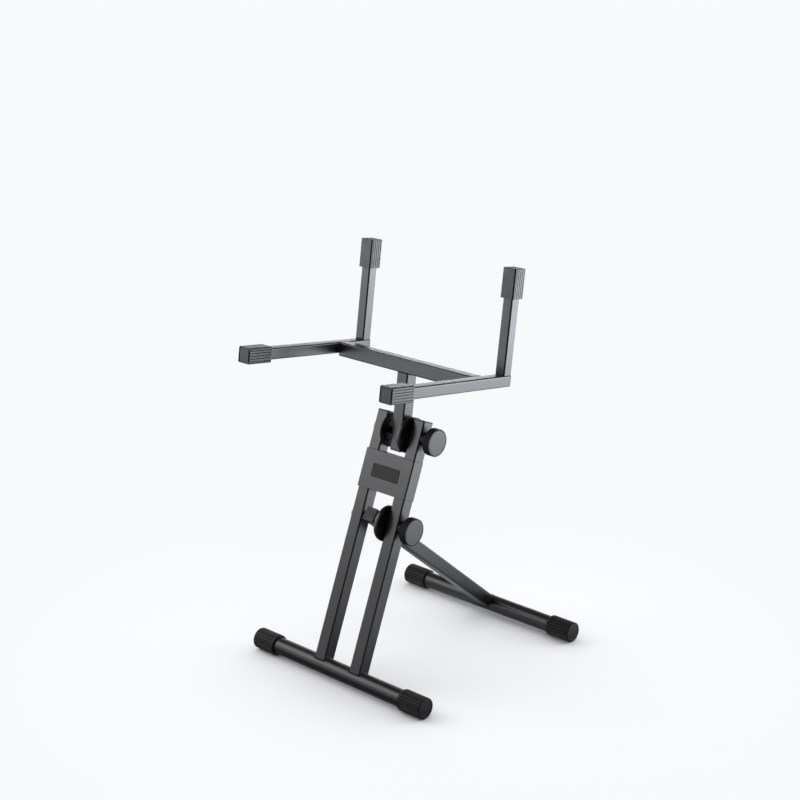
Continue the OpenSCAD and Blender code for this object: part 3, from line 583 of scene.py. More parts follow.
class StandSizes(bpy.types.PropertyGroup):
    """Sizes of the shapes' detail; the main sizes come from the frame."""

    corner_r: length("Tube corner", "Outside corner radius of the square tubes", 0.0028)
    square_wall: length("Square tube wall", "Wall thickness of the square tubes", 0.0015)
    foot_wall: length("Round tube wall", "Wall thickness of the round tubes", 0.0016)
    edge_r: length("Cut edge", "Rounding of cut tube ends and sheet edges", 0.0003)
    weld_r: length("Weld bead", "Radius of the weld beads", 0.002)
    weld_pitch: length("Weld ripple", "Distance between the ripples of a weld bead", 0.0019)
    sheet_t: length("Bracket sheet", "Thickness of the bracket's sheet steel", 0.002)
    bend_r: length("Bracket bend", "Inside radius of the bracket's bends", 0.0005)
    sheet_cut_r: length("Bracket cut edge", "Rounding of the bracket's cut edges", 0.0006)
    # Painted shade: the matt strip along the bracket's ends draws the shadow in the gap where it meets the
    # uprights.
    shade_line_w: length("Bracket bare strip", "Width of the matt strip along the bracket's ends", 0.0012)
    plate_r: length("Plate corner", "Corner radius of the blank plate", 0.0015)
    plate_rim: length("Plate rim", "Width of the raised rim round the blank plate", 0.0009)
    plate_sink: amount("Plate sink", "Share of the plate's thickness by which its field is sunk", 0.35)
    plug_head: length("Plug head", "Thickness of the tube plugs' heads", 0.002)
    plug_wall: length("Plug wall", "Wall thickness of the tube plugs' stems", 0.0015)
    plug_crown: length("Plug crown", "Rounding of the tube plugs' faces", 0.0011)
    plug_play: length("Plug play", "Clearance of a plug's stem in its tube", 0.0001)
    cap_ribs: number("Foot cap ribs", "Number of grooves round a foot cap", 24)
    cap_end_r: length("Foot cap end", "Rounding of a foot cap's closed end", 0.0024)
    cap_mouth: length("Foot cap mouth", "Chamfer at a foot cap's mouth", 0.0026)
    cap_band: length("Foot cap band", "Plain band between a foot cap's grooves and its mouth", 0.001)
    cap_floor: length("Cap end wall", "Thickness of a rubber cap's closed end", 0.004)
    cap_play: length("Cap play", "Clearance of a foot cap on its tube", 0.00005)
    cap_sink: length("Cap end sink", "Depth of the sunk middle of a foot cap's end", 0.0006)
    groove_w: length("Groove width", "Width of the grooves in the round caps", 0.003)
    rest_groove_w: length("Square cap groove width", "Width of the grooves in the square caps", 0.0015)
    groove_depth: length("Groove depth", "Depth of the grooves in the round caps", 0.0017)
    rest_groove_depth: length("Square cap groove depth", "Depth of the grooves in the square caps", 0.0009)
    rest_wall: length("Square cap wall", "Wall of the square caps round their tube", 0.004)
    rest_grooves: number("Square cap grooves", "Number of grooves in a grooved side of a square cap", 5)
    rest_rim: length("Square cap rim", "Width of the rim round a square cap's end", 0.0008)
    rest_moat_w: length("Square cap moat width", "Width of the moat inside that rim", 0.0026)
    rest_moat: length("Square cap moat depth", "Depth of that moat", 0.0016)
    rest_sink: length("Square cap sink", "Depth of the ribbed field inside the moat", 0.0003)
    bore_r: length("Bore", "Radius of the bores round the pivot bolts", 0.00405)
    bolt_r: length("Bolt", "Radius of the pivot bolts", 0.004)
    bolt_point: length("Bolt point", "Taper at the end of a pivot bolt", 0.0007)
    hub_r: length("Clutch hub", "Radius of the hub behind the moving clutch disc", 0.024)
    hub_len: length("Clutch hub length", "Length of that hub", 0.006)
    tooth_in: length("Teeth inside", "Inner radius of the clutch teeth", 0.0165)
    tooth_rim: length("Teeth rim", "Plain rim outside the clutch teeth", 0.0035)
    tooth_h: length("Tooth height", "Height of the clutch teeth", 0.0013)
    root_gap: length("Tooth gap", "Depth of the roots below the tips' height", 0.0002)
    teeth: number("Clutch teeth", "Number of clutch teeth", 24)
    pocket_r: length("Spring pocket", "Radius of the pocket for the clutch spring", 0.008)
    pocket_h: length("Spring pocket depth", "Depth of that pocket in each clutch disc", 0.003)
    fixed_rim: length("Fixed disc rim", "Thickness of the fixed clutch disc at its rim", 0.0036)
    seat_edge: length("Disc seat edge", "Rounding between a black disc's seat and its taper", 0.002)
    disc_edge: length("Disc edge", "Rounding of the black discs' outer edges", 0.0008)
    seat_r: length("Fixed disc seat", "Radius of the fixed disc's flat seat on the upright", 0.02)
    dish: length("Side disc dish", "Depth of the dish in the disc left of the neck", 0.0035)
    dish_boss: length("Side disc boss", "Radius of that disc's centre boss", 0.006)
    dish_step: length("Side disc step", "Radius of the raised middle of the dish", 0.019)
    dish_up: length("Side disc step height", "Height of that middle over the dish's floor", 0.001)
    dish_run: length("Side disc slope", "Width of the slopes at the dish's steps", 0.0008)
    dish_rim: length("Side disc rim", "Thickness of that disc at its rim", 0.0036)
    dish_rib_w: length("Side disc rib", "Width of the ribs in that dish", 0.0016)
    dish_rib_h: length("Side disc rib height", "Height of those ribs", 0.0007)
    dish_ribs: number("Side disc ribs", "Number of ribs in that dish", 12)
    rim_notches: number("Side disc notches", "Number of fine notches round that disc's edge", 60)
    notch_depth: length("Notch depth", "Depth of those notches", 0.0006)
    peg_r: length("Peg", "Radius of the discs' locating pegs", 0.002)
    peg_root: length("Peg root", "Depth of a peg's root in its disc", 0.001)
    peg_off: length("Peg distance", "Distance of those pegs from the pivot", 0.0122)
    knob_hub_r: length("Knob hub", "Radius of a knob's hub", 0.013)
    knob_rim: length("Knob rim", "Thickness of a knob's fluted rim", 0.014)
    knob_lip: length("Knob lip", "Plain lip on each side of a knob's flutes", 0.0018)
    knob_flutes: number("Knob flutes", "Number of flutes round a knob", 36)
    flute_w: length("Flute width", "Width of a knob's flutes", 0.003)
    flute_depth: length("Flute depth", "Depth of a knob's flutes", 0.0007)
    flute_run: length("Flute run-out", "Length over which a flute's ends run out", 0.0008)
    knob_edge: length("Knob edge", "Rounding of a knob's edges", 0.001)
    insert_h: length("Insert pocket", "Depth of the pocket for a knob's insert", 0.009)
    insert_flat: length("Insert flats", "Distance of that pocket's flats from its axis", 0.00655)
    insert_r: length("Insert corners", "Distance of its corners from its axis", 0.00757)
    face_edge: length("Face edge", "Plain edge round a knob's face disc", 0.0022)
    face_sunk: length("Face recess", "Depth of the recess for the face disc", 0.0014)
    face_crown: length("Face crown", "Rise of the face disc's low dome", 0.00015)


class StandColours(bpy.types.PropertyGroup):
    """Colours of the finishes, as linear values."""

    paint: pigment("Steel paint", "Near black satin coat of the steel", (0.008, 0.008, 0.0082))
    rubber: pigment("Rubber", "Ribbed caps on the feet, arms and posts", (0.005, 0.005, 0.0053))
    gloss: pigment("Gloss black", "Clutch discs", (0.003, 0.003, 0.0035))
    plate: pigment("Plate", "Blank plate on the bracket", (0.03, 0.028, 0.024))
    knob: pigment("Knob", "Fluted knob bodies", (0.004, 0.004, 0.0045))
    knob_face: pigment("Knob face", "Grey discs on the knobs", (0.02, 0.0205, 0.0225))
    plug: pigment("Plugs", "Tube plugs, bush and sleeve", (0.006, 0.006, 0.0065))
    zinc: pigment("Zinc", "Bolts, washers, screws and springs", (0.27, 0.27, 0.28))
    brass: pigment("Brass", "Threaded inserts in the knobs", (0.62, 0.45, 0.2))
    floor: pigment("Floor", "The pale floor", (0.92, 0.925, 0.94))
    backdrop: pigment("Backdrop", "The pale background", (0.939, 0.947, 0.965))


class StandStage(bpy.types.PropertyGroup):
    """Camera, lamps and floor."""

    camera_place: FloatVectorProperty(
        name="Camera place", description="Where the camera stands", default=(2.0178, -2.2010, 1.4491),
        subtype="TRANSLATION", unit="LENGTH")
    camera_back: FloatVectorProperty(
        name="Camera back", description="Direction from what the camera sees towards the camera",
        default=(0.6482, -0.6978, 0.3049), subtype="DIRECTION")
    lens: amount("Lens", "Focal length in millimetres", 77.98)
    floor_size: length("Floor size", "Side of the floor", 80.0)
    floor_clear: amount("Floor clearing", "How much the floor takes the backdrop colour at the stand", 0.0,
                        max=1.0)
    # Painted shade: the floor's colour is darkened at the left, against the fill lamp's pool of light.
    floor_left: amount("Left floor", "Factor on the floor's colour at the left, under the fill lamp", 0.93,
                       max=1.0)
    world_light: amount("World light", "Strength of the even light from all round", 0.86)
    world_high: amount("High world in reflections", "Level that reflections show high up", 0.08)
    camera_side: amount("Camera side in reflections", "Factor on all that they show on that side", 0.03)
    floor_near: amount("Near floor in reflections", "Level that they show of the floor at the stand", 0.22)
    floor_far: amount("Far floor in reflections", "Level that they show of the floor far away", 2.4)
    floor_right: amount("Right floor in reflections", "Level that they show of it at the right rear", 4.0)
    feet_shade: amount("Front foot's shade in reflections", "Factor on the floor's level along it", 0.35)
    rear_shade: amount("Rear foot's shade in reflections", "Factor on the floor's level along it", 0.14)
    leg_right: amount("Right of the leg in reflections", "Factor on the floor's level there", 0.72)
    leg_left: amount("Left of the leg in reflections", "Factor on the floor's level there", 2.2)
    key_light: amount("Key light", "Power of the lamp at the right rear", 4.0, unit="POWER")
    fill_light: amount("Fill light", "Power of the lamp above the left side", 5.4, unit="POWER")


# ------------------------------------------------------------------ tubes and plugs

def sizes():
    """The sizes that a user may change."""
    return bpy.context.scene.stand_sizes


def round_tube(node, place):
    """Round tube: the outline of its wall, with rounded cut edges, turned about its axis."""
    s = sizes()
    low, high = place.box(node)
    outer, inner = high[0], high[0] - s.foot_wall
    corners = [(outer, low[2]), (outer, high[2]), (inner, high[2]), (inner, low[2])]
    profile, bend = rounded(corners, s.edge_r, steps=3, closed=True)
    dress(node, [Shell(turned(profile, 96), place, loop=True, bend_v=bend)])


def square_tube(node, place, foot_z=None):
    """Square tube: its rounded section carried along the outline of its wall.

    With foot_z, the low end is coped onto a foot tube whose axis lies there: its z becomes
    foot_z + sqrt(R^2 - y^2), with R the foot tube's radius.
    """
    s = sizes()
    low, high, half, centre = place.span(node)
    corners = [(0, low), (0, high), (s.square_wall, high), (s.square_wall, low)]
    profile, bend = rounded(corners, s.edge_r, steps=3, closed=True)
    section = square_section(x_parts=16)
    grid = swept(section, half, s.corner_r, profile)
    grid[..., :2] += centre
    if foot_z is not None:
        near = profile[:, 1] < (low + high) / 2
        reach = foot_z + np.sqrt(FOOT_R ** 2 - grid[..., 1] ** 2)
        grid[..., 2] += np.where(near, reach - low, 0)
    dress(node, [Shell(grid, place, loop=True, bend_u=section.bend, bend_v=bend)])


def set_down(points, low, high, centre, flip=False):
    """Moves points from the z axis to a centre, with z counted up from low, or down from high if flipped."""
    points[..., :2] += centre
    points[..., 2] = high - points[..., 2] if flip else low + points[..., 2]
    return points


def tube_plug(node, place, head_low=False):
    """Plug of a square tube: a head with a softly rounded face, and a hollow stem below it."""
    s = sizes()
    low, high, half, centre = place.span(node)
    top, under = high - low, high - low - s.plug_head
    stem = s.square_wall + s.plug_play
    corners = [(stem + s.plug_wall, under), (stem + s.plug_wall, 0), (stem, 0), (stem, under), (0, under),
               (0, top), (half[0] / 2, top)]
    profile, bend = rounded(corners, [0, s.edge_r, s.edge_r, 0, 0.0002, s.plug_crown, 0], steps=5)
    section = square_section()
    grid = set_down(swept(section, half, s.corner_r, profile), low, high, centre, head_low)
    dress(node, [Shell(grid, place, bend_u=section.bend, bend_v=bend)])


# ------------------------------------------------------------------ rubber caps

# Shares of a cap's length over which its grooves fade out, and the share of their pitch that the ribs on
# a square cap's end take up.
CAP_FADE = 0.06
REST_FADE = 0.05
REST_RIB_SHARE = 0.6


def foot_cap(node, place, side):
    """Grooved round cap, whose closed end is at the high z of its place for side 1.

    Its outline is turned about the foot's axis and pulled in at each groove by
    depth * wave(angle * R, width). The grooves run out into the closed end's edge and fade out near the
    mouth. The middle of the end face is sunk a little.
    """
    s = sizes()
    low, high = place.box(node)
    r, long = high[0], high[2] - low[2]
    bore = FOOT_R + s.cap_play
    corners = [
        (0.008, s.cap_sink), (0.72 * r, s.cap_sink), (0.75 * r, 0), (r, 0),
        (r, long - s.cap_mouth - s.cap_band), (r, long - s.cap_mouth), (r - s.cap_mouth / 2, long),
        (bore, long), (bore, s.cap_floor), (0.004, s.cap_floor)]
    profile, bend = rounded(corners, [0, 0.0004, 0.0003, s.cap_end_r, 0, 0.0005, 0.0004, 0.0006, 0.0006, 0],
                            steps=5)
    start, stop = np.flatnonzero(profile[:, 0] > r - 1e-6)[:2]
    profile, bend, share = divided(profile, bend, start, stop, 25)
    into_end = np.clip(2 * (profile[:start + 1, 0] - r) / s.cap_end_r + 2, 0, 1)
    fade = np.zeros(len(profile))
    fade[:start + 1] = into_end
    fade[start + 1:start + 1 + len(share)] = np.clip((1 - share) / CAP_FADE, 0, 1)
    around = s.cap_ribs * 12
    angle = angles(around)
    relief = s.groove_depth * wave(repeats(angle, s.cap_ribs) * r, s.groove_w)[:, None] * fade
    end, away = (high[2], -1) if side > 0 else (low[2], 1)
    profile = np.stack([profile[:, 0], end + away * profile[:, 1]], 1)
    dress(node, [Shell(turned(profile, around, relief), place, bend_v=bend)])


def rest_cap(node, place, end_low=True):
    """Square cap: a rounded section carried from its sunk end face to its mouth and back inside.

    Its x facing sides are pulled in at each groove by depth * wave(y - y of the groove, width). A moat
    runs round the end face, and on the field inside it stand low upright ribs.
    """
    s = sizes()
    low, high, half, centre = place.span(node)
    long = high - low
    rim, sink, field = s.rest_rim, s.rest_sink, s.rest_rim + s.rest_moat_w
    corners = [(half[0] * 0.7, sink), (field, sink), (field, s.rest_moat), (rim, s.rest_moat), (rim, 0),
               (0, 0), (0, long), (s.rest_wall, long), (s.rest_wall, s.cap_floor),
               (half[0] * 0.8, s.cap_floor)]
    profile, bend = rounded(corners, [0, 0.0004, 0.0006, 0.0006, 0.0003, 0.0006, 0.0008, 0.0005, 0.0005, 0],
                            steps=5)
    outer = np.flatnonzero((profile[:, 0] < 1e-9) & (profile[:, 1] > 0.0005))
    start, stop = outer[0], outer[-1]
    profile, bend, share = divided(profile, bend, start, stop, 21)
    fade = np.zeros(len(profile))
    fade[start + 1:start + 1 + len(share)] = np.clip(np.minimum(share, 1 - share) / REST_FADE, 0, 1)

    section = square_section(steps=6, x_parts=96)
    pitch = 2 * half[1] / (s.rest_grooves + 1)
    y = section.core[:, 1] * (half[1] - s.corner_r)
    flat = np.abs(section.way[:, 0]) > 0.999
    near = (y + pitch / 2 + half[1]) % pitch - pitch / 2
    depth = s.rest_groove_depth * wave(near, s.rest_groove_w) * flat * (np.abs(y) < half[1] - pitch / 2)
    grid = swept(section, half, s.corner_r, profile, depth[:, None] * fade)
    grid = set_down(grid, low, high, centre, not end_low)

    shells = [Shell(grid, place, bend_u=section.bend, bend_v=bend)]
    bar = square_section(steps=8)
    apart = 2 * (half[0] - field) / s.rest_grooves
    bar_half = np.array([REST_RIB_SHARE / 2 * apart, half[1] - field - 2 * sink])
    bar_profile, bar_bend = rounded([(0, 3 * sink), (0, 0), (bar_half[0] * 0.5, 0)], [0, 0.0003, 0], steps=4)
    for i in range(s.rest_grooves):
        rib = swept(bar, bar_half, 0.0008, bar_profile)
        rib[..., 0] += (i + 0.5) * apart + field - half[0]
        shells.append(Shell(set_down(rib, low, high, centre, not end_low), place, bend_v=bar_bend))
    dress(node, shells, "rest_rubber")


# ------------------------------------------------------------------ bracket and plate

def bracket():
    """Channel of sheet steel: its outline, offset inwards at the cut edges, carried along the uprights.

    A narrow strip along both cut ends is matt, so that the ends show as thin dark lines: painted shade,
    standing in for the shadow in the gap where the bracket meets the uprights.
    """
    s = sizes()
    low, high = UPRIGHTS.box("bracket")
    sheet = s.sheet_t
    right, front, back = high[0], low[1], high[1]
    outer_r = sheet + s.bend_r
    corners = [(-right, back), (-right, front), (right, front), (right, back), (right - sheet, back),
               (right - sheet, front + sheet), (sheet - right, front + sheet), (sheet - right, back)]
    cut_r = s.sheet_cut_r
    outline, bend = rounded(corners, [cut_r, outer_r, outer_r, cut_r, cut_r, s.bend_r, s.bend_r, cut_r],
                            closed=True)
    ahead = unit(np.roll(outline, -1, 0) - outline)
    back_way = unit(outline - np.roll(outline, 1, 0))
    way = unit(ahead + back_way)
    way = np.stack([way[:, 1], -way[:, 0]], 1)
    ends = [(cut_r, low[2]), (0, low[2]), (0, low[2] + s.shade_line_w), (0, high[2] - s.shade_line_w), (0, high[2]),
            (cut_r, high[2])]
    profile = rounded(ends, [0, s.edge_r, 0, 0, s.edge_r, 0], steps=4)[0]
    # The strip marked here is painted shade: its low gloss draws the shadow along the bracket's cut ends.
    bare = np.minimum(profile[:, 1] - low[2], high[2] - profile[:, 1]) < 0.9 * s.shade_line_w
    flat = outline[:, None] - way[:, None] * profile[None, :, :1]
    grid = np.concatenate([flat, np.broadcast_to(profile[:, 1:], flat.shape[:2] + (1,))], -1)
    dress("bracket", [Shell(grid, UPRIGHTS, bend_u=0.4 * bend, bend_v=1.0 * bare)], "edge_paint")


def blank_plate():
    """Bare plate: a raised rim round a field that is sunk a little, from a rounded rectangle's sections."""
    s = sizes()
    place = Place(middle("blank_plate"), -UPRIGHTS.axes[1], RIGHT)
    low, high = place.box("blank_plate")
    field = high[2] - s.plate_sink * (high[2] - low[2])
    corners = [(0.004, low[2]), (0, low[2]), (0, high[2]), (s.plate_rim, high[2]), (s.plate_rim, field),
               (0.004, field)]
    profile, bend = rounded(corners, [0, 0.0001, 0.00025, 0.00012, 0.00012, 0], steps=4)
    section = square_section(steps=8)
    shell = Shell(swept(section, high[:2], s.plate_r, profile), place, bend_v=bend)
    dress("blank_plate", [shell], "plate_black")


# ------------------------------------------------------------------ pivots

# Share of their pitch that the clutch teeth take up at their roots.
TOOTH_SHARE = 0.8


def clutch_face(corners, radii, face, inward, turn_count=288):
    """Grid of a clutch disc whose toothed face lies at z = face, and the bend of its profile.

    corners outline the back of the disc from its bore to its rim. The face is added from the rim to the
    bore: plain rim, a ring of radial teeth, and the spring's pocket. inward is the z direction into the
    disc. A tooth's height is tooth_h * (1 - |2 angle / (TOOTH_SHARE * pitch)|).
    """
    s = sizes()
    rim, deep = corners[-1][0], s.tooth_h + s.root_gap
    ring_out, ring_in, slope = rim - s.tooth_rim, s.tooth_in, s.edge_r
    depths = [(rim, 0), (ring_out, 0), (ring_out, deep), (ring_out - slope, deep),
              (ring_in + slope, deep), (ring_in, deep), (ring_in, 0), (s.pocket_r, 0),
              (s.pocket_r, s.pocket_h), (s.bore_r, s.pocket_h)]
    face_corners = [(r, face + inward * depth) for r, depth in depths]
    face_radii = [s.edge_r, s.edge_r, 0, 0, 0, 0, s.edge_r, s.edge_r, 0.0002, s.edge_r]
    profile, bend = rounded(corners + face_corners, radii + face_radii, steps=3, closed=True)
    in_ring = (profile[:, 0] < ring_out - slope / 2) & (profile[:, 0] > ring_in + slope / 2)
    toothed = in_ring & (np.abs(profile[:, 1] - face - inward * deep) < 1e-6)
    angle = angles(turn_count)
    half_tooth = TOOTH_SHARE / 2 * TURN / s.teeth
    tooth = np.clip(1 - np.abs(repeats(angle, s.teeth)) / half_tooth, 0, 1)
    lift = -inward * s.tooth_h * tooth[:, None] * toothed
    return turned(profile, turn_count, lift=lift), bend


def moving_clutch(node, place):
    """Painted clutch disc that turns with its tube: a hub, a flange and a toothed face to the right."""
    s = sizes()
    low, high = place.box(node)
    step = low[2] + s.hub_len
    corners = [(s.bore_r, low[2]), (s.hub_r, low[2]), (s.hub_r, step), (high[0], step)]
    grid, bend = clutch_face(corners, [s.edge_r, s.edge_r, 0.001, 0.0006], high[2], -1)
    dress(node, [Shell(grid, place, loop=True, bend_v=bend)])


def fixed_clutch(node, place):
    """Glossy clutch disc on the right upright: it tapers to a flat seat, with two pegs behind."""
    s = sizes()
    low, high = place.box(node)
    corners = [(s.bore_r, UPRIGHT_IN), (s.seat_r, UPRIGHT_IN), (high[1], low[2] + s.fixed_rim)]
    grid, bend = clutch_face(corners, [s.edge_r, s.seat_edge, s.disc_edge], low[2], 1)
    dress(node, [Shell(grid, place, loop=True, bend_v=bend)] + pegs(place, UPRIGHT_IN, high[2]))


def pegs(place, seat, tip):
    """The two locating pegs of a disc: rounded rods from its seat into the tube beside it."""
    s = sizes()
    inside = seat - np.sign(tip - seat) * s.peg_root
    profile, bend = rounded([(s.peg_r, inside), (s.peg_r, tip), (s.peg_r / 3, tip)], 0.0005, steps=3)
    rods = []
    for side in (-1, 1):
        grid = turned(profile, 24)
        grid[..., 0] += side * s.peg_off
        rods.append(Shell(grid, place, bend_v=bend))
    return rods


def side_disc(node, place):
    """Dished disc left of the neck: it tapers to its seat, with a boss, low ribs and a notched edge.

    The rim is pulled in by depth * wave(angle * R, half a pitch), and each rib stands in the dish by
    height * wave(angle * r, width) at radius r.
    """
    s = sizes()
    low, high = place.box(node)
    r, front, seat = high[1], high[2], -UPRIGHT_IN
    rim, floor, run = r - s.tooth_rim, front - s.dish, s.dish_run
    corners = [(s.bore_r, seat), (s.seat_r, seat), (r, front - s.dish_rim), (r, front), (rim, front),
               (rim - run, floor), (s.dish_step + run, floor), (s.dish_step, floor + s.dish_up),
               (s.dish_boss + run, floor + s.dish_up), (s.dish_boss, front), (s.bore_r, front)]
    radii = [s.edge_r, s.seat_edge, s.disc_edge, s.disc_edge, 0.0005, 0.0008, 0.0005, 0.0004, 0.0005,
             s.edge_r, s.edge_r]
    profile, bend = rounded(corners, radii, steps=4, closed=True)
    ends = np.flatnonzero(np.abs(profile[:, 1] - floor) < 1e-9)
    start, stop = ends[0], ends[-1]
    profile, bend, share = divided(profile, bend, start, stop, 11)
    around = s.rim_notches * 10
    angle = angles(around)
    in_dish = np.zeros(len(profile))
    in_dish[start:start + len(share) + 2] = 1
    rib = wave(repeats(angle, s.dish_ribs)[:, None] * profile[:, 0], s.dish_rib_w) * in_dish
    edge = (profile[:, 0] > r - 1e-6) * 1.0
    notch = wave(repeats(angle, s.rim_notches) * r, TURN * r / s.rim_notches / 2)[:, None] * edge
    grid = turned(profile, around, s.notch_depth * notch, s.dish_rib_h * rib)
    dress(node, [Shell(grid, place, loop=True, bend_v=bend)] + pegs(place, seat, low[2]))


def rings(node, places, edge, steps, count):
    """Flat rings, all of one height and width: the rounded outline of a wall turned about each pivot."""
    s = sizes()
    low, high = places[0].box(node)
    corners = [(s.bore_r, low[2]), (high[1], low[2]), (high[1], high[2]), (s.bore_r, high[2])]
    profile, bend = rounded(corners, edge, steps=steps, closed=True)
    dress(node, [Shell(turned(profile, count), place, loop=True, bend_v=bend) for place in places])


def spacer(node, place):
    """Plain bush."""
    rings(node, [place], 0.0006, steps=4, count=64)


def washers(node):
    """The two washers of one side."""
    rings(node, [LOWER_TURN, UPPER_TURN], sizes().edge_r, steps=3, count=72)


def bolt(node, place, seat):
    """Pivot bolt: a shank with a chamfered end, and a domed head on its seat.

    The dome's outline is (R sin a, seat - H (0.3 + 0.7 cos a)), a quarter ellipse on a short rim.
    """
    s = sizes()
    low, high = place.box(node)
    tall, wide = seat - low[2], high[1]
    angle = np.linspace(0.08, 1, 12) * np.pi / 2
    dome = np.stack([wide * np.sin(angle), seat - tall * (0.3 + 0.7 * np.cos(angle))], 1)
    shank = [(s.bolt_r, seat), (s.bolt_r, high[2]), (s.bolt_r - s.bolt_point, high[2]), (0.001, high[2])]
    shank, bend = rounded([(wide, seat)] + shank, [0, 0.0004, 0.0004, 0.0004, 0], steps=3)
    profile = np.concatenate([dome, shank])
    bend = np.concatenate([0 * angle, bend])
    dress(node, [Shell(turned(profile, 72), place, bend_v=bend)])


# ------------------------------------------------------------------ knobs

def knob(node, place):
    """Clamping knob: a fluted rim, a hub with a six sided pocket behind, and a recess for its face disc.

    The rim is pulled in at each flute by depth * wave(angle * R, width). The pocket's radius is
    half the width across flats / cos(angle from the nearest flat).
    """
    s = sizes()
    low, high = place.box(node)
    r, back, front = high[1], low[2], high[2]
    rim = front - s.knob_rim
    recess_r, recess = r - s.face_edge, front - s.face_sunk
    first, last, run = rim + s.knob_lip, front - s.knob_lip, s.flute_run
    corners = [
        (0.001, back + s.insert_h), (s.insert_r, back + s.insert_h), (s.insert_r, back),
        (s.knob_hub_r, back), (s.knob_hub_r, rim), (r, rim), (r, first), (r, first + run),
        (r, last - run), (r, last), (r, front), (recess_r, front), (recess_r, recess), (0.001, recess)]
    radii = [0, 0, s.edge_r, s.knob_edge, 0.0015, s.knob_edge, 0, 0, 0, 0, s.knob_edge, 0.0004, 0.0002, 0]
    profile, bend = rounded(corners, radii, steps=4)
    between = (profile[:, 1] > first + 1e-6) & (profile[:, 1] < last - 1e-6)
    on_rim = (profile[:, 0] > r - 1e-6) & between
    around = s.knob_flutes * 12
    angle = angles(around)
    flute = s.flute_depth * wave(repeats(angle, s.knob_flutes) * r, s.flute_w)[:, None] * on_rim
    in_pocket = np.abs(profile[:, 0] - s.insert_r) < 1e-6
    flats = s.insert_r - s.insert_flat / np.cos(repeats(angle, 6))
    grid = turned(profile, around, flute + flats[:, None] * in_pocket)
    dress(node, [Shell(grid, place, bend_v=bend)])


def knob_face(node, place):
    """Bare grey disc in a knob: a low dome, z falling by crown * (r / R)^2, inside a fine turned groove."""
    s = sizes()
    low, high = place.box(node)
    r, front, back = high[1], high[2], low[2]
    inside, groove, outside = 0.9, 0.925, 0.95
    share = np.linspace(0.05, inside, 14)[:-1]
    dome = np.stack([share * r, front - s.face_crown * share ** 2], 1)
    rim = front - s.face_crown
    corners = [(inside * r, front - s.face_crown * inside ** 2), (groove * r, front - 2.6 * s.face_crown),
               (outside * r, rim), (r, rim), (r, back), (0.3 * r, back)]
    edge, bend = rounded(corners, [0, 0.0003, 0.0003, 0.0004, 0.0002, 0], steps=4)
    profile = np.concatenate([dome, edge])
    bend = np.concatenate([0 * share, bend])
    dress(node, [Shell(turned(profile, 144), place, bend_v=bend)])


# ------------------------------------------------------------------ welds

def ring_bead(place, tube, foot_z):
    """Weld bead all round a coped tube: it follows the tube's section at z = foot_z + sqrt(R^2 - y^2)."""
    s = sizes()
    half, centre = place.span(tube)[2:]
    section = square_section(steps=6, x_parts=40, y_parts=40)
    flat = section.drawn(half, s.corner_r) + centre
    path = np.column_stack([flat, foot_z + np.sqrt(FOOT_R ** 2 - flat[:, 1] ** 2)])
    side = np.column_stack([section.way, np.zeros(len(flat))])
    radius = rippled(path, s.weld_r, s.weld_pitch, True)
    return Shell(bead_surface(path, side, np.array([0, 0, 1.0]), radius), place, loop=True)


def straight_bead(place, start, stop, side, up):
    """Weld bead in a straight corner from start to stop, thinner at both ends."""
    s = sizes()
    share = np.linspace(0, 1, 72)[:, None]
    path = np.asarray(start) * (1 - share) + np.asarray(stop) * share
    grid = bead_surface(path, np.asarray(side, float), np.asarray(up, float),
                        rippled(path, s.weld_r, s.weld_pitch, False))
    return Shell(grid, place)


def foot_welds(node, place, tubes, foot_z):
    """Beads round the lower ends of coped tubes."""
    dress(node, [ring_bead(place, tube, foot_z) for tube in tubes], "weld_paint")


def head_welds():
    """Beads at the neck's sides, at both ends of the crossbar and in front of the posts."""
    clear = sizes().corner_r
    neck_low, neck_high = HEAD.box("neck_tube")
    bar_low, bar_high = HEAD.box("crossbar")
    beads = [straight_bead(HEAD, (x, neck_low[1] + clear, neck_high[2]),
                           (x, neck_high[1] - clear, neck_high[2]), (1, 0, 0), (0, 0, 1))
             for x in (neck_low[0], neck_high[0])]
    for side in ("left", "right"):
        low, high = HEAD.box(f"{side}_arm")
        x = high[0] if side == "left" else low[0]
        beads += [straight_bead(HEAD, (x, y, low[2] + clear), (x, y, high[2] - clear), (1, 0, 0), (0, 1, 0))
                  for y in (bar_low[1], bar_high[1])]
    for side in ("left", "right"):
        low, high = HEAD.box(f"{side}_post")
        beads.append(straight_bead(HEAD, (low[0] + clear, low[1], low[2]), (high[0] - clear, low[1], low[2]),
                                   (0, 1, 0), (0, 0, 1)))
    dress("head_welds", beads, "weld_paint")


# ------------------------------------------------------------------ stage

# Ramps over the floor and over the sky that reflections show. Each has a direction, and how far along it
# the ramp starts and stops: metres from the stand's middle on the floor, parts of a unit way in the sky.
LEFT_POOL = (-0.9, -0.3, 0), -0.1, 0.5
RIGHT_REAR = (0.68, 0.73, 0), -0.03, 1.25
FRONT_TO_REAR = (0, 1, 0), -0.05, 0.05
LEFT_REAR = (-0.73, 0.68, 0), -0.15, 0.06
RIGHT_HALF = (1, 0, 0), 0.0, 0.12
LEFT_HALF = (-1, 0, 0), 0.02, 0.08
REAR_HALF = (0, 1, 0), 0.1, 0.2
UPWARDS = (0, 0, 1), 0.1, 0.6

# Distances from the stand's middle between which the floor's glow grows, and the floor clears for the
# camera, and how far a foot's shade reaches.
GLOW_GROWS = 0.6, 3.6
FLOOR_CLEARS = 0.27, 0.75
FOOT_SHADE_REACH = 0.09

# Where the dark of the camera's side starts and is full: a place's distance towards the camera, less
# CAMERA_SHARE of its distance from the middle.
CAMERA_SIDE = 0.14, 0.7
CAMERA_SHARE = 0.3

# Colour of the floor in reflections.
GLOW_TINT = (0.9, 0.935, 1.0)


